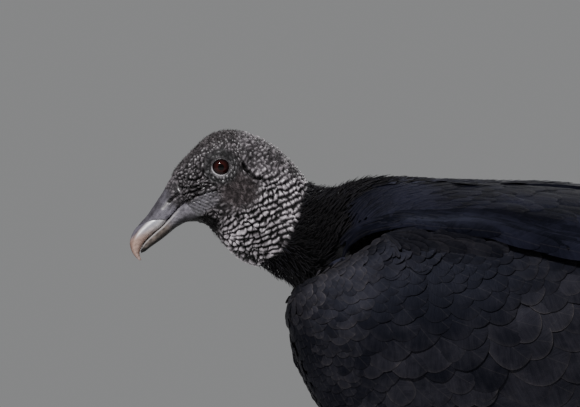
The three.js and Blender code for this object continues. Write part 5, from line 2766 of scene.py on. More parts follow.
SCAPULAR_FLOW = Flow(
    (
        (-136, 276, 46), (-133, 262, 44), (-120, 272, 34), (-116, 264, 28), (-100, 280, 20),
        (-98, 269, 8), (-80, 288, 10), (-60, 278, 1), (-60, 267, -2), (-20, 275, -5), (-20, 261, -9),
        (0, 265, -9), (40, 262, -12), (80, 250, -16), (140, 232, -20), (180, 226, -22),
    )
)
WING_EDGE = (
    (90, 322), (60, 310), (0, 288), (-40, 273), (-75, 268), (-101, 267), (-119, 257), (-139, 246),
    (-152, 239), (-165, 230), (-171, 222), (-174, 212), (-173, 203), (-168, 190), (-164, 177),
    (-157, 166), (-150, 153), (-136, 134), (-119, 118), (-98, 110), (-60, 104),
)


class SheetRound(Surface):
    """A folded sheet all the way round: u is the station and v the angle, outer face first."""

    def __init__(self, table: Array, side: int) -> None:
        """Keeps the sheet's table and the bird's side, -1 left and 1 right."""
        self.table, self.side = table, side

    def point(self, u: Array, v: Array) -> Array:
        """Places on the sheet."""
        return sheet_point(self.table, u, v, self.side)

    def frame(self, u: Array, v: Array) -> tuple[Array, Array, Array, Array]:
        """The sheet's local frame, with its normal outwards.

        Args:
            u: (N,) stations.
            v: (N,) angles.

        Returns:
            Places, two tangents and normals, (N, 3) each.
        """
        p, du, dv, n = super().frame(u, v)
        top_x, top_z, low_x, low_z, top_y, low_y, bulge, _ = stations_at(self.table, u).T
        middle = np.stack(
            [(top_x + low_x) / 2, self.side * ((top_y + low_y) / 2 + bulge), (top_z + low_z) / 2], axis=-1
        )
        t = (1 - np.cos(v)) / 2
        spine_y = self.side * (top_y + (low_y - top_y) * t + bulge * 4 * t * (1 - t))
        out = p - middle
        out[:, 1] = (p[:, 1] - spine_y) * 6
        return p, du, dv, n * np.sign(dot(n, out))

    def unwrap(self, u: Array, v: Array) -> Array:
        """Station across and angle up, each from 0 to 1."""
        return np.stack([u / (len(self.table) - 1), (v / (2 * math.pi)) % 1.0], axis=-1)


def candidates(
    surface: Surface,
    u_range: tuple[float, float],
    v_range: tuple[float, float],
    count: int,
    rng: np.random.Generator,
) -> tuple[Array, Array]:
    """Random places on a surface, evenly spread over its area.

    Args:
        surface: the surface.
        u_range: least and greatest u.
        v_range: least and greatest v.
        count: how many are wanted.
        rng: where they come from.

    Returns:
        (N, 2) coordinates and (N, 3) places.
    """
    u = rng.uniform(*u_range, count * 3)
    v = rng.uniform(*v_range, count * 3)
    p, du, dv, _ = surface.frame(u, v)
    area = np.linalg.norm(np.cross(du, dv), axis=1)
    keep = rng.random(len(u)) < area / np.percentile(area, 98)
    return np.stack([u[keep], v[keep]], axis=-1)[:count], p[keep][:count]


@dataclass
class BodyCoat:
    """Feathers of the neck, mantle, back, breast, belly and thighs."""

    tree: VaneTree
    families: dict[VaneKind, bpy.types.Collection]
    finish: PlumageFinish = PlumageFinish(
        "body_feathers", (0.0018, 0.0019, 0.0036), (0.018, 0.0186, 0.03), gloss=0.5, edge_wear_and_highlight=0.05, shine=0.06
    )
    ruff_finish: PlumageFinish = PlumageFinish(
        "neck_feathers", (0.0012, 0.0012, 0.0015), (0.0045, 0.0042, 0.0045), gloss=0.6, edge_wear_and_highlight=0.0, shine=0.05
    )

    def depth(self, p: Array) -> Array:
        """How deep the skin is under the outline."""
        return Skin().inset(p)

    def ruff(self) -> bpy.types.Object:
        """Short, loose, hair-like tufts on the feathered neck.

        Returns:
            The object.
        """
        rng = np.random.default_rng(301)
        uv, p = candidates(BODY, (8.0, 18.5), (0, 2 * math.pi), 110000, rng)
        d = beyond_ruff(p)
        keep = (d > -1.5) & (d < 56) & (shoulder_hollow(p) < 0.5)
        uv, p, d = uv[keep], p[keep], d[keep]
        spacing = 1.3 + 1.5 * smoothstep(10, 50, d)
        chosen = scatter(p, spacing, rng)
        for reach in (4.0, 9.0, 13.0):
            chosen = chosen[shoulder_hollow(p[chosen] + BODY_FLOW.heading(p[chosen]) * reach) < 0.4]
        uv, p, d = uv[chosen], p[chosen], d[chosen]
        count = len(uv)
        length = (5.0 + 9.0 * smoothstep(0, 35, d)) * rng.uniform(0.75, 1.25, count)
        half = (0.42 + 0.75 * smoothstep(12, 50, d)) * rng.uniform(0.8, 1.25, count)
        depth = self.depth(p)
        loose = 1 - smoothstep(20, 50, d)
        stand = rng.uniform(0.0, 1.0, count) ** 3 * loose
        lift = np.stack(
            [
                -0.8 * depth - 0.2,
                -0.35 * depth + 0.1 + 0.5 * stand,
                -0.1 * depth + 0.1 + 1.1 * stand,
                0.1 + 2.8 * stand,
            ]
        )
        turn = rng.normal(0, 0.2, count) * (0.3 + 0.7 * loose)
        feathers = Feathers(rng)
        feathers.lay(BODY, uv, BODY_FLOW.heading, length, half, lift, turn, rng.normal(0, 0.25, count))
        look = Layer(self.ruff_finish.material(), thickness=0.16, camber=0.25, ruffle=0.2, seed=3)
        return self.tree.grow("neck_plumage", feathers, self.families[VaneKind.PLUME], look)

    def trunk(self, name: str, upper: bool) -> bpy.types.Object:
        """Smooth feathers that overlap from the shoulders to the tail, on the back or under the body.

        Args:
            name: its name.
            upper: whether the feathers of the back are wanted, or else those under the body.

        Returns:
            The object.
        """
        rng = np.random.default_rng(302)
        uv, p = candidates(BODY, (12.0, 26.6), (0, 2 * math.pi), 60000, rng)
        d = beyond_ruff(p)
        keep = (d > 34) & (p[:, 0] < 208) & (shoulder_hollow(p) < 0.5)
        for reach in (5.0, 10.0, 15.0):
            keep &= shoulder_hollow(p + BODY_FLOW.heading(p) * reach) < 0.4
        uv, p, d = uv[keep], p[keep], d[keep]
        rear = smoothstep(-120, 20, p[:, 0])
        under = smoothstep(230, 150, p[:, 2])
        spacing = 3.2 + 3.0 * rear + 2.4 * under
        chosen = scatter(p, spacing, rng)
        chosen = chosen[(p[chosen][:, 2] > 225) == upper]
        uv, p, d, spacing = uv[chosen], p[chosen], d[chosen], spacing[chosen]
        count = len(uv)
        length = spacing * 5.2 * rng.uniform(0.85, 1.15, count)
        half = spacing * 0.68 * rng.uniform(0.85, 1.15, count)
        depth = self.depth(p)
        lift = np.stack([-0.6 * depth, -0.36 * depth, -0.16 * depth, np.full(count, -0.1)])
        turn = rng.normal(0, 0.07, count)
        feathers = Feathers(rng)
        # Painted shade: feathers over the top of the back are darkened to hold down the key lamp's light on
        # them.
        back = smoothstep(-105, -70, p[:, 0]) * smoothstep(245, 262, p[:, 2])
        tint = rng.random(count) * (1 - 0.85 * back)
        bow = rng.normal(0.03, 0.04, count)
        feathers.lay(BODY, uv, BODY_FLOW.heading, length, half, lift, turn, bow, tint=tint)
        look = Layer(self.finish.material(), thickness=0.22, camber=0.12, ruffle=0.06, seed=4)
        return self.tree.grow(name, feathers, self.families[VaneKind.BODY], look)

    def thigh(self, name: str, side: int) -> bpy.types.Object:
        """Feathers that hang round a thigh.

        Args:
            name: left or right.
            side: -1 on the bird's left and 1 on its right.

        Returns:
            The object.
        """
        rng = np.random.default_rng(310 + side)
        limb = Limb(THIGH_STATIONS, side * LEG_Y)
        uv, p = candidates(limb, (0.6, 4.9), (0, 2 * math.pi), 9000, rng)
        spacing = 2.6 + 3.4 * smoothstep(95, 150, p[:, 2])
        chosen = scatter(p, spacing, rng)
        uv, spacing = uv[chosen], spacing[chosen]
        count = len(uv)
        length = spacing * 4.0 * rng.uniform(0.85, 1.15, count)
        half = spacing * 0.7 * rng.uniform(0.85, 1.15, count)

        def down(places: Array) -> Array:
            """The same way at every place: down and a little back."""
            return np.tile([0.3, 0.0, -1.0], (len(places), 1))

        feathers = Feathers(rng)
        length = np.minimum(length, np.maximum((p[chosen][:, 2] - 84) * 1.05, 5.0))
        lift = (-1.8, -1.0, 0.0, 0.5)
        turn, bow = rng.normal(0, 0.12, count), rng.normal(0, 0.1, count)
        feathers.lay(limb, uv, down, length, half, lift, turn, bow)
        look = Layer(self.finish.material(), thickness=0.3, camber=0.3, ruffle=0.16, seed=5)
        return self.tree.grow(f"thigh_plumage_{name}", feathers, self.families[VaneKind.BODY], look)

    def build(self) -> None:
        """Makes the coat of the trunk, neck and thighs."""
        hand_over(self.ruff())
        hand_over(self.trunk("back_plumage", True))
        hand_over(self.trunk("belly_plumage", False))
        for name, side in SIDES.items():
            hand_over(self.thigh(name, side))


@dataclass
class WingCoat:
    """The feathers of one folded wing: coverts in rows behind its edge, then the flight feathers."""

    tree: VaneTree
    families: dict[VaneKind, bpy.types.Collection]
    name: str
    side: int
    hub: tuple[float, float] = (250.0, 150.0)
    last_row: float = 128.0
    spread: float = 1.55
    covert_finish: PlumageFinish = PlumageFinish(
        "covert_feathers",
        (0.0015, 0.0016, 0.0026),
        (0.0138, 0.0131, 0.0165),
        edge_wear_and_highlight=0.9,
        gloss=0.56,
        shine=0.07,
    )
    flight_finish: PlumageFinish = PlumageFinish(
        "flight_feathers", (0.0014, 0.0014, 0.002), (0.006, 0.006, 0.0076), edge_wear_and_highlight=0.3, gloss=0.52, shine=0.04
    )

    def __post_init__(self) -> None:
        """Finds the wing's outer face and starts its own draws."""
        self.face = SheetFace(WING_SHEET, self.side)
        self.rng = np.random.default_rng(400 + self.side)

    def swell(self, x: Array, z: Array) -> Array:
        """How far the coverts stand off the wing near its top, up to the shoulder feathers' edge."""
        below_top = np.interp(x, WING_SHEET[:, 0], WING_SHEET[:, 1]) - z
        return np.interp(x, (-107, -70, -46, -16, 20), (3, 5, 2.4, 0.6, 0)) * smoothstep(26, 4, below_top)

    def slope(self, x: Array, z: Array) -> Array:
        """How steeply the coverts lean out towards the wing's top."""
        return self.swell(x, z + 1) / 2 - self.swell(x, z - 1) / 2

    def room(self, x: Array, z: Array, way: Array, far: float) -> Array:
        """How far feathers run from places in the side view before they leave the wing, up to a distance.

        Args:
            x: (N,) places along the bird.
            z: (N,) heights.
            way: (N, 3) directions.
            far: the greatest distance that is tried.

        Returns:
            (N,) distances.
        """
        run = np.arange(far + 1.0)
        ahead, above = x[:, None] + way[:, :1] * run, z[:, None] + way[:, 2:] * run
        on = self.face.inside(ahead.ravel(), above.ravel()).reshape(len(x), -1)
        return np.where(on.all(axis=1), far, np.argmin(on, axis=1))

    def row_step(self, reach: float) -> float:
        """Distance from one row to the next, by distance from the wing's edge."""
        return float(np.interp(reach, (0, 15, 27, 42, 74, 110, 150), (3.4, 4.0, 5.4, 7.8, 12.5, 17, 22)))

    def row_tips(self) -> tuple[Array, Array, Array]:
        """Tips of the coverts.

        Returns:
            (N, 2) places in the side view, the row step at each, and its distance from the wing's edge.
        """
        angle = np.linspace(math.radians(143), math.radians(196), 900)
        run = np.linspace(0, 460, 700)
        x = self.hub[0] + np.cos(angle)[:, None] * run
        z = self.hub[1] + np.sin(angle)[:, None] * run
        away, _ = segment_distance(x, z, WING_EDGE)
        beyond = np.minimum.accumulate(away, axis=1)
        tips, steps, reaches = [], [], []
        reach, number = 3.2, 0
        while reach < self.last_row:
            step = self.row_step(reach)
            first = np.argmax(beyond <= reach, axis=1)
            found = beyond[np.arange(len(angle)), first] <= reach
            cx, cz = x[np.arange(len(angle)), first][found], z[np.arange(len(angle)), first][found]
            far = np.concatenate([[0], np.cumsum(np.hypot(np.diff(cx), np.diff(cz)))])
            at = np.arange(0.5 * (number % 2), far[-1] / (step * self.spread)) * step * self.spread
            at = at + self.rng.normal(0, 0.2 * step, len(at))
            px, pz = np.interp(at, far, cx), np.interp(at, far, cz)
            px += self.rng.normal(0, 0.22 * step, len(at))
            pz += self.rng.normal(0, 0.22 * step, len(at))
            inside = self.face.inside(px, pz) & (px < 195)
            tips.append(np.stack([px, pz], axis=-1)[inside])
            steps.append(np.full(int(inside.sum()), step))
            reaches.append(np.full(int(inside.sum()), reach))
            reach += step
            number += 1
        return np.concatenate(tips), np.concatenate(steps), np.concatenate(reaches)

    def coverts(self) -> bpy.types.Object:
        """Rounded coverts, small at the wing's edge and large behind.

        Returns:
            The object.
        """
        tips, step, reach = self.row_tips()
        count = len(tips)
        heading = WING_FLOW.heading(np.stack([tips[:, 0], tips[:, 0] * 0, tips[:, 1]], axis=-1))
        room = np.where(tips[:, 0] > -45, 80.0, self.room(tips[:, 0], tips[:, 1], -heading, 60.0))
        length = np.minimum(step * 2.9 * self.rng.uniform(0.88, 1.14, count), room + 1.0)
        half = np.minimum(step * self.spread * 0.7 * self.rng.uniform(0.82, 1.2, count), 0.62 * length + 1.5)
        from_tuft = np.hypot((tips[:, 0] + 93) / 1.7, tips[:, 1] - 255)
        ruffled = (1 - smoothstep(10, 22, from_tuft)) * smoothstep(4, 8, reach)
        rise = 0.12 + 0.03 * step * self.rng.uniform(0.2, 1.6, count)
        rise = rise + ruffled * self.rng.uniform(0, 1.5, count)
        low = -0.5 - 0.045 * step
        lift = np.stack([low, low * 0.6, low * 0.1 + 0.4 * rise, rise])
        for leg, share in enumerate((1.0, 2 / 3, 1 / 3, 0.0)):
            lift[leg] += self.swell(*(tips - heading[:, (0, 2)] * (length * share)[:, None]).T)
        turn = self.rng.normal(0, 0.15, count) + ruffled * self.rng.normal(0, 0.25, count)
        # Painted shade: coverts low on the leading edge are darkened where the wing's edge rounds away into
        # shade.
        strip = smoothstep(16, 9, reach) * smoothstep(212, 196, tips[:, 1])
        # Painted shade: coverts just under the shoulder feathers' edge are darkened, as if in their shadow.
        under = np.interp(tips[:, 0], (-71, -39, -12, 40, 70), (266.8, 263.5, 256, 245, 238)) - tips[:, 1]
        overhang_shade = smoothstep(9, 3, under) * smoothstep(-70, -50, tips[:, 0])
        # Painted shade: coverts in the middle of the wing, which face down and away from the light, are
        # darkened.
        middle = smoothstep(1.3, 0.55, np.hypot((tips[:, 0] + 66) / 52, (tips[:, 1] - 228) / 37))
        # Painted sheen: coverts at the bend of the wing are made paler where the light catches them; a patch
        # lower back on the wing is made paler too.
        front = smoothstep(1.2, 0.4, np.hypot((tips[:, 0] + 134) / 27, (tips[:, 1] - 242) / 17))
        hind = smoothstep(1.2, 0.4, np.hypot((tips[:, 0] - 4) / 32, (tips[:, 1] - 193) / 27))
        tint = self.rng.random(count)
        tint = tint * 0.8 + (1 - tint * 0.8) * (0.7 * front + 0.55 * hind)
        tint *= (1 - 0.95 * strip) * (1 - 0.95 * overhang_shade) * (1 - 0.93 * middle)
        feathers = Feathers(self.rng)
        feathers.lay(
            self.face,
            tips,
            WING_FLOW.heading,
            length,
            half,
            lift,
            turn,
            self.side * (0.05 - self.slope(tips[:, 0], tips[:, 1])) + self.rng.normal(0, 0.008, count),
            from_tip=True,
            tint=tint,
        )
        self.shoulder_tuft(feathers)
        look = Layer(self.covert_finish.material(), thickness=0.1, camber=0.03, ruffle=0.0, seed=6)
        return self.tree.grow(f"wing_coverts_{self.name}", feathers, self.families[VaneKind.COVERT], look)

    def shoulder_tuft(self, feathers: Feathers) -> None:
        """Coverts that close the gap under the shoulder feathers, and a fan of small ones before them.

        Args:
            feathers: what they are added to.
        """
        rng = self.rng
        for drop, count, end in ((0.5, 10, -67), (4.5, 10, -62), (9.0, 11, -52)):
            x = np.linspace(-106, end, count) + rng.normal(0, 1.3, count)
            z = np.interp(x, (-107, -87, -55), (267.5, 268.5, 266)) - drop
            z += rng.normal(0, 0.7, count)
            reach = rng.uniform(15, 21, count)
            self.span(feathers, x, z, x + reach, z - reach * rng.uniform(0.2, 0.45, count), 4.6, 1.0)
        turn = np.radians([6, -7, -19, -31, -45, -60])
        reach = rng.uniform(13, 18, len(turn))
        x, z = np.full(len(turn), -110.5), np.full(len(turn), 264.2)
        self.span(feathers, x, z, x + np.cos(turn) * reach, z + np.sin(turn) * reach, 1.9, 2.6)

    def span(
        self, feathers: Feathers, x0: Array, z0: Array, x1: Array, z1: Array, half: float, stand: float
    ) -> None:
        """Adds feathers from roots to tips given in the side view, which stand off the swollen coverts.

        Args:
            feathers: what they are added to.
            x0: (N,) roots along the bird.
            z0: (N,) heights of the roots.
            x1: (N,) tips along the bird.
            z1: (N,) heights of the tips.
            half: half widths, in millimetres.
            stand: how far off they stand.
        """
        ends = []
        for x, z in ((x0, z0), (x1, z1)):
            off = np.abs(self.face.point(x, z)[:, 1]) + self.swell(x, z) + stand
            ends.append(np.stack([x, self.side * off, z], axis=-1))
        root, tip = ends
        share = THIRDS[..., None]
        out = np.tile([0.0, self.side, 0.0], (len(root), 1))
        places = root + (tip - root) * share + out * 0.8 * np.sin(share * math.pi)
        tint = self.rng.random(len(root)) * 0.5
        uv = self.face.unwrap(root[:, 0], root[:, 2])
        length = np.linalg.norm(tip - root, axis=1)
        roll = self.side * (0.05 - self.slope(x1, z1))
        feathers.add(places, out, out, length, half, roll, tint, uv, 0.003)

    def edging(self) -> bpy.types.Object:
        """Small feathers round the wing's edge and larger ones on its inner face.

        Returns:
            The object.
        """
        rng = self.rng
        sheet = SheetRound(WING_SHEET, self.side)

        def heading(p: Array) -> Array:
            """The wing's own way, turned outward over the fold."""
            flow = WING_FLOW.heading(p)
            flow[:, 1] = self.side * (0.5 + 1.2 * smoothstep(215, 235, p[:, 2]))
            return flow

        feathers = Feathers(rng)
        uv, p = candidates(sheet, (0.45, 4.2), (-0.45, 0.4), 9000, rng)
        uv2, p2 = candidates(sheet, (0.45, 3.8), (math.pi - 0.4, math.pi + 0.45), 9000, rng)
        uv, p = np.concatenate([uv, uv2]), np.concatenate([p, p2])
        chosen = scatter(p, np.full(len(p), 2.8), rng)
        uv = uv[chosen]
        count = len(uv)
        size = rng.uniform(0.85, 1.15, count)
        # Painted shade: the small feathers low on the wing's leading edge are made dark where that edge turns
        # away into shade.
        low = p[chosen][:, 2] < 205
        tint = np.where(low, 0.02, rng.random(count))
        lift = (-0.9, -0.5, -0.2, 0.02)
        turn = rng.normal(0, 0.2, count)
        feathers.lay(sheet, uv, heading, 9.0 * size, 2.0 * size, lift, turn, 0.05, tint=tint)

        uv, p = candidates(sheet, (0.9, 10.2), (math.pi + 0.35, 2 * math.pi - 0.35), 9000, rng)
        spacing = 7 + 6 * smoothstep(-150, 0, p[:, 0])
        chosen = scatter(p, spacing, rng)
        length = np.minimum(spacing * 2.8, self.room(p[:, 0], p[:, 2], WING_FLOW.heading(p), 40.0) - 1.5)
        chosen = chosen[length[chosen] > 6.0]
        uv, length = uv[chosen], length[chosen]
        way = WING_FLOW.heading(p[chosen])
        middle = p[chosen] + way * (length * 0.55)[:, None]
        beside = self.room(middle[:, 0], middle[:, 2], way[:, (2, 1, 0)] * np.array([1.0, 0.0, -1.0]), 20.0)
        half = np.minimum(np.minimum(spacing[chosen] * 0.85, length * 0.32), beside * 0.7)
        uv, length, half = uv[half > 1.5], length[half > 1.5], half[half > 1.5]
        turn = rng.normal(0, 0.05, len(uv))
        feathers.lay(sheet, uv, WING_FLOW.heading, length, half, (-1.2, -0.6, -0.1, 0.2), turn)
        look = Layer(self.covert_finish.material(), thickness=0.1, camber=0.04, ruffle=0.0, seed=7)
        return self.tree.grow(f"wing_edge_{self.name}", feathers, self.families[VaneKind.BODY], look)

    def flight(self) -> bpy.types.Object:
        """Primaries, secondaries and the long inner feathers that cover them.

        Returns:
            The object.
        """
        feathers = Feathers(self.rng)
        primaries = (
            ((-48, 115), (192, 139.5), 13, -5.0),
            ((-52, 118), (205, 146), 13, -4.6),
            ((-60, 121), (236, 150.5), 13, -4.2),
            ((-64, 124), (247, 156), 13, -3.8),
            ((-64, 127), (242, 161), 13, -3.4),
            ((-60, 130), (229, 167), 13.5, -3.0),
            ((-60, 131), (214, 172), 14, -2.6),
            ((-50, 136), (199, 177), 14, -2.2),
            ((-40, 141), (185, 182), 14, -1.8),
            ((-30, 146), (171, 186), 14.5, -1.4),
            ((-20, 150), (157, 190), 15, -1.0),
        )
        for (rx, rz), (tx, tz), half, level in primaries:
            self.long_feather(feathers, (rx, rz), (tx, tz), half, level)
        count = 13
        for i in range(count):
            k = i / (count - 1)
            tip = (78 + 66 * k + 6 * math.sin(k * math.pi), 117 + 92 * k)
            angle = math.radians(-7 - 14 * k)
            length = 128 - 10 * k
            root = (tip[0] - math.cos(angle) * length, tip[1] - math.sin(angle) * length)
            self.long_feather(feathers, root, tip, 15 + 3.0 * k, -1.6 + 1.7 * k)
        look = Layer(self.flight_finish.material(), thickness=0.45, camber=0.1, ruffle=0.05, seed=8)
        return self.tree.grow(f"flight_feathers_{self.name}", feathers, self.families[VaneKind.REMEX], look)

    def long_feather(
        self,
        feathers: Feathers,
        root: tuple[float, float],
        tip: tuple[float, float],
        half: float,
        level: float,
    ) -> None:
        """Adds one flight feather between two places in the side view, at a level over the wing's face.

        Args:
            feathers: what they are added to.
            root: where it starts.
            tip: where it ends.
            half: its half width.
            level: how far over the wing's face it lies.
        """
        way = np.array([tip[0] - root[0], 0.0, tip[1] - root[1]])
        length = float(np.linalg.norm(way))

        def straight(p: Array) -> Array:
            """The way from the root to the tip, at every place."""
            return np.tile(way / length, (len(p), 1))

        rng = self.rng
        feathers.lay(
            self.face,
            np.array([tip], float),
            straight,
            np.array([length]),
            np.array([half]),
            (level - 0.8, level - 0.3, level, level + 0.3),
            rng.normal(0, 0.008, 1),
            self.side * 0.05,
            from_tip=True,
            patch=0.03,
        )

    def build(self) -> None:
        """Makes the wing's plumage."""
        hand_over(self.coverts())
        hand_over(self.edging())
        hand_over(self.flight(), replaces=[f"primaries_{self.name}"])


@dataclass
class ScapularCoat:
    """Long satin feathers over one shoulder, which hide the top of the wing."""

    tree: VaneTree
    families: dict[VaneKind, bpy.types.Collection]
    name: str
    side: int
    edge: tuple[tuple[float, float, float], ...] = (
        (-134, 254.5, 52), (-131, 258.5, 55), (-125.5, 262.3, 60), (-118.5, 265.4, 66),
        (-110.5, 266.7, 71), (-99.8, 269, 76), (-87, 268, 80), (-71, 266.8, 82), (-55, 266, 84.5),
        (-39, 263.5, 86), (-23, 259.2, 86.5), (-12, 256, 86.5), (14, 251.5, 86), (40, 245, 84),
        (70, 237.5, 79.5), (94, 230, 73.5), (118, 221.5, 66), (150, 214, 52.5),
    )
    # Its strong blue cast is partly the feathers' own colour and partly a painted sheen.
    finish: PlumageFinish = PlumageFinish(
        "shoulder_feathers",
        (0.001, 0.0011, 0.0022),
        (0.0072, 0.0076, 0.014),
        edge_wear_and_highlight=0.05,
        gloss=0.48,
        shine=0.048,
    )

    def build(self) -> None:
        """Makes the shoulder's plumage."""
        rng = np.random.default_rng(500 + self.side)
        sheet = SheetRound(SCAPULAR_SHEET, self.side)
        uv, p = candidates(sheet, (0.1, 7.7), (-0.25, math.pi - 0.25), 27000, rng)
        along = smoothstep(-130, 70, p[:, 0])
        spacing = 2.6 + 9.4 * along
        chosen = scatter(p, spacing, rng)
        uv, p, spacing, along = uv[chosen], p[chosen], spacing[chosen], along[chosen]
        count = len(uv)
        size = rng.uniform(0.85, 1.15, count)
        length = np.minimum((18 + 55 * along) * size, np.maximum(188 - p[:, 0], 12.0))
        edge_room = np.maximum((math.pi - uv[:, 1]) * 17.0, 2.0)
        most = np.minimum(edge_room, 2.2 + 15 * np.maximum(uv[:, 1], 0))
        half = np.minimum((1.4 + 9.6 * along) * size, most)
        tip_lift = 0.02 + 0.08 * rng.random(count)
        lift = np.stack([-0.6 - 0.3 * along, -0.4 - 0.2 * along, -0.2 - 0.02 * along, tip_lift])
        feathers = Feathers(rng)
        turn = rng.normal(0, 0.05, count)
        tint = rng.random(count) * smoothstep(-146, -112, p[:, 0])
        tint = tint * (0.35 + 0.65 * smoothstep(0.3, 1.3, uv[:, 1]))
        tint += (1 - tint) * 0.8 * smoothstep(1.3, 0.4, np.hypot((p[:, 0] + 112) / 24, (p[:, 2] - 280) / 17))
        tilt = rng.normal(0, 0.012, count)
        feathers.lay(sheet, uv, SCAPULAR_FLOW.heading, length, half, lift, turn, tilt, tint=tint)
        self.fringe(feathers)
        look = Layer(self.finish.material(), thickness=0.1, camber=0.04, ruffle=0.0, seed=9)
        hand_over(
            self.tree.grow(f"shoulder_plumage_{self.name}", feathers, self.families[VaneKind.COVERT], look),
        )

    def fringe(self, feathers: Feathers) -> None:
        """Long feathers that curve along the lower edge, over the hollow of the shoulder and the wing.

        Args:
            feathers: what they are added to.
        """
        x, z, y = np.array(self.edge).T
        far = np.concatenate([[0], np.cumsum(np.hypot(np.diff(x), np.diff(z)))])
        for row in range(5):
            start = np.arange(-6.0 + 2.0 * row, far[-1] - 48, 6.0)
            count = len(start)
            start = start + feathers.rng.normal(0, 1.6, count)
            size = smoothstep(0, 110, start)
            length = 26 + 22 * size
            at = start + THIRDS * length
            slope_x = np.interp(at + 1, far, x) - np.interp(at - 1, far, x)
            slope_z = np.interp(at + 1, far, z) - np.interp(at - 1, far, z)
            bend = np.maximum(np.hypot(slope_x, slope_z), 0.1)
            stray, slant = feathers.rng.normal(0, 0.5, (2, count)) * (0.3 + size)
            above = 1.8 + (1.5 + 1.5 * size) * row + stray + slant * np.linspace(-1, 1, 4)[:, None]
            px = np.interp(at, far, x) + np.minimum(at, 0) * 0.5 - slope_z / bend * above
            pz = np.interp(at, far, z) + np.minimum(at, 0) * 0.8 + slope_x / bend * above
            py = np.interp(at, far, y) - 0.16 * above**2 / (1 + 0.16 * above) + 0.2 * row
            py += np.array([-0.6, -0.35, -0.1, 0.15])[:, None]
            places = np.stack([px, self.side * py, pz], axis=-1)
            out = np.tile(unit(np.array([0.0, self.side, 0.1 + 0.16 * row])), (count, 1))
            uv = np.stack([start / far[-1], np.full(count, 0.5)], axis=-1)
            tint = feathers.rng.random(count) * 0.8
            feathers.add(places, out, out, length, 1.8 + 4.0 * size, self.side * 0.03, tint, uv, 0.003)


@dataclass
class Tail:
    """Twelve tail feathers, spread a little, the middle pair on top, and the coverts at their roots."""

    tree: VaneTree
    families: dict[VaneKind, bpy.types.Collection]
    base: tuple[float, float] = (96.0, 243.0)
    tip: tuple[float, float] = (272.0, 188.0)
    base_half: float = 10.0
    tip_half: float = 36.0
    rump: tuple[tuple[float, float, float], ...] = ((256, 240, 223), (182, 200, 209), (36, 26, 15))
    half: float = 11.5
    finish: PlumageFinish = PlumageFinish(
        "tail_feathers", (0.0014, 0.0014, 0.002), (0.005, 0.005, 0.0064), edge_wear_and_highlight=0.2, gloss=0.55, shine=0.03
    )

    def build(self) -> None:
        """Makes the tail."""
        rng = np.random.default_rng(600)
        feathers = Feathers(rng)
        for number in range(6):
            for side in SIDES.values():
                across = (number + 0.5) / 6
                drop = 5.5 * across**2 + 0.9 * number
                tip_x = self.tip[0] - 6.0 * abs(across - 0.45)
                away, level = side * self.base_half * across, self.base[1] - 0.5 * drop
                start = np.array([self.base[0] + 4 * number, away, level])
                end = np.array([tip_x, side * self.tip_half * across, self.tip[1] - drop])
                line = start + (end - start) * THIRDS
                line[:, 2] += 1.5 * np.sin(THIRDS[:, 0] * math.pi)
                out = unit(np.array([[0.3, side * 0.12 * across, 1.0]]))
                length = np.array([float(np.linalg.norm(end - start))])
                uv = np.array([[0.5 + 0.4 * side * across, 0.5]])
                feathers.add(
                    line[:, None, :], out, out, length, np.array([self.half]), -side * 0.05, None, uv, 0.04
                )
        self.coverts(feathers)
        look = Layer(self.finish.material(), thickness=0.5, camber=0.1, ruffle=0.04, seed=10)
        hand_over(
            self.tree.grow("tail_feathers", feathers, self.families[VaneKind.REMEX], look),
            replaces=["tail"],
        )

    def coverts(self, feathers: Feathers) -> None:
        """Three rows of coverts that lead from the rump over the roots of the tail."""
        for row, (root_x, tip_x, count) in enumerate(((200, 240, 7), (188, 228, 8), (176, 216, 9))):
            across = np.linspace(-1, 1, count) + feathers.rng.normal(0, 0.05, count)
            girth = np.sqrt(1 - (0.85 * np.clip(across, -1, 1)) ** 2)
            top, low, half = (np.interp(root_x, (155, 187, 214), sizes) for sizes in self.rump)
            root_z = (top + low) / 2 + (top - low) / 2 * girth - 1.0
            line_z = np.interp(tip_x, (self.base[0], self.tip[0]), (self.base[1], self.tip[1]))
            tip_z = line_z + 2.0 + row - 3 * across**2
            x = root_x + (tip_x - root_x) * THIRDS + feathers.rng.normal(0, 1.5, count)
            y = across * half * (0.85 + 0.25 * THIRDS)
            z = root_z + (tip_z - root_z) * THIRDS + 2.5 * np.sin(THIRDS * math.pi)
            out = unit(np.stack([np.full(count, 0.4), across * 0.7, girth], axis=-1))
            uv = np.stack([0.5 + 0.4 * across, np.full(count, 0.1 + 0.1 * row)], axis=-1)
            length = np.full(count, float(tip_x - root_x))
            places = np.stack([x, y, z], axis=-1)
            feathers.add(places, out, out, length, np.full(count, 7.0), 0.02, None, uv, 0.003)


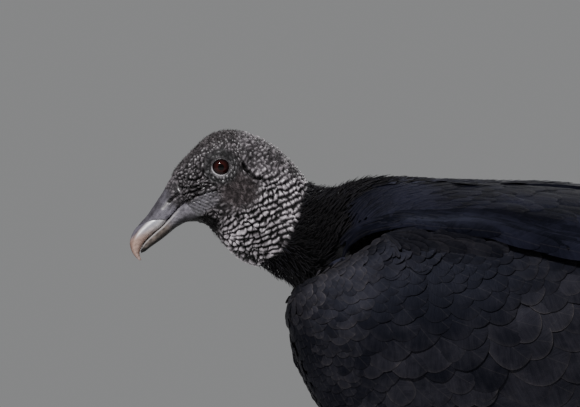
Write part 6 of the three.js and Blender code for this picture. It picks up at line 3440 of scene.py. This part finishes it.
@dataclass
class Bristles:
    """Sparse black bristles on the bare head, thickest on the forehead, ear and throat."""

    tree: VaneTree
    families: dict[VaneKind, bpy.types.Collection]
    finish: PlumageFinish = PlumageFinish(
        "bristles", (0.006, 0.006, 0.006), (0.015, 0.013, 0.012), edge_wear_and_highlight=0.0, gloss=0.5
    )

    def build(self) -> None:
        """Makes the bristles."""
        rng = np.random.default_rng(700)
        uv, p = candidates(BODY, (0.05, 11.0), (0, 2 * math.pi), 26000, rng)
        x, y, z = p.T
        bare = 1 - smoothstep(-3, 3, beyond_ruff(p))
        neck, flank = behind_nape(p), on_flank(p)
        crown = smoothstep(-6, 6, above_brow(p))
        ear = (1 - smoothstep(0.7, 1.15, np.hypot((x + 200.8) / 11.5, (z - 291) / 11.0))) * flank
        throat = (1 - smoothstep(258, 271, z + 0.25 * (x + 215))) * (1 - neck)
        brow = smoothstep(-238, -246, x) * smoothstep(285, 291, z)
        weight = 0.05 + 0.35 * crown * (1 - 0.6 * neck) + 0.55 * ear + 0.5 * throat + 0.7 * brow
        chance = bare * np.clip(weight, 0, 1)
        chance *= 1 - 0.85 * neck * (1 - crown)
        keep = (rng.random(len(p)) < chance) & ((eye_distance(p) > 9) | (np.abs(y) < 10))
        uv, p, throat, ear = uv[keep], p[keep], throat[keep], ear[keep]
        count = len(uv)
        length = rng.uniform(1.3, 2.8, count) * (1 + 0.9 * throat - 0.25 * ear)
        half = rng.uniform(0.09, 0.15, count)
        stand = rng.uniform(0.25, 0.8, count)
        lift = np.stack([np.full(count, -0.4), *(part * length * stand for part in (0.25, 0.55, 0.85))])

        def heading(places: Array) -> Array:
            """Back along the head, and down on the throat."""
            flow = np.tile([1.0, 0.0, 0.15], (len(places), 1))
            flow[:, 2] -= 1.3 * smoothstep(285, 262, places[:, 2])
            return flow

        feathers = Feathers(rng)
        feathers.lay(BODY, uv, heading, length * 0.75, half, lift, rng.normal(0, 0.45, count))
        look = Layer(self.finish.material(), thickness=0.2, camber=0.0, ruffle=0.0, seed=11)
        hand_over(self.tree.grow("bristles", feathers, self.families[VaneKind.BRISTLE], look))


def build_plumage() -> None:
    """Makes every feather."""
    tree = VaneTree()
    families = {kind: kind.value.meshes() for kind in VaneKind}
    BodyCoat(tree, families).build()
    for name, side in SIDES.items():
        WingCoat(tree, families, name, side).build()
        ScapularCoat(tree, families, name, side).build()
    Tail(tree, families).build()
    Bristles(tree, families).build()


# ---------------------------------------------------------------------------------------------------
# Studio
# ---------------------------------------------------------------------------------------------------


@dataclass
class Studio:
    """A pale floor and surroundings, soft lamps, and the camera, in metres."""

    camera_place: tuple[float, float, float] = (-0.1713, -7.0, 0.2837)
    frame_width: float = 0.3712
    floor_radius: float = 6.0
    floor_sides: int = 96
    aim: tuple[float, float, float] = (-0.1, 0.0, 0.24)
    sensor: float = 36.0
    backdrop: float = 0.25

    def floor(self) -> None:
        """A pale round floor."""
        angle = whole_turn(self.floor_sides)
        ring = np.stack([np.cos(angle), np.sin(angle), angle * 0], axis=-1) * self.floor_radius / MM
        item = new_object("floor", ring, [range(self.floor_sides)])
        material, g, shader = new_material("floor", {"Roughness": 0.9})
        g.feed(shader, {"Base Color": g.mix(g.noise(g.place(), 3.0), (0.55, 0.55, 0.55), (0.6, 0.6, 0.6))})
        item.data.materials.append(material)

    def sky(self) -> None:
        """Even pale surroundings."""
        world = bpy.data.worlds.new("surroundings")
        world.use_nodes = True
        background = world.node_tree.nodes["Background"]
        background.inputs["Color"].default_value = (0.98, 0.99, 1.0, 1.0)
        background.inputs["Strength"].default_value = self.backdrop
        bpy.context.scene.world = world

    def lamp(self, name: str, place: Sequence[float], size: float, power: float) -> None:
        """A square soft lamp that faces the bird.

        Args:
            name: its name.
            place: where it stands.
            size: length of its sides.
            power: in watts.
        """
        data = bpy.data.lights.new(name, "AREA")
        data.size = size
        data.energy = power
        item = bpy.data.objects.new(name, data)
        bpy.context.scene.collection.objects.link(item)
        item.location = place
        aim = np.array(self.aim) - np.array(place)
        reach = float(np.linalg.norm(aim))
        item.rotation_euler = (math.acos(-aim[2] / reach), 0.0, math.atan2(aim[1], aim[0]) - math.pi / 2)

    def camera(self) -> None:
        """The camera: level, square to the bird's side."""
        data = bpy.data.cameras.new("camera")
        data.sensor_width = self.sensor
        data.lens = self.sensor * -self.camera_place[1] / self.frame_width
        data.clip_end = 100.0
        item = bpy.data.objects.new("camera", data)
        item.location = self.camera_place
        item.rotation_euler = (math.pi / 2, 0.0, 0.0)
        bpy.context.scene.collection.objects.link(item)
        bpy.context.scene.camera = item

    def build(self) -> None:
        """Makes the studio."""
        self.floor()
        self.sky()
        self.lamp("key", (-1.1, -1.9, 2.8), 0.4, 200.0)
        self.lamp("rim", (0.9, 1.7, 1.9), 1.2, 40.0)
        self.camera()


def main() -> None:
    """Builds the bird and its studio, part by part."""
    logging.basicConfig(level=logging.INFO, format="%(name)s %(message)s")
    Studio().build()
    Skin().build()
    Hook().build()
    Eyes().build()
    Claws().build()
    build_plumage()


if __name__ == "__main__":
    main()
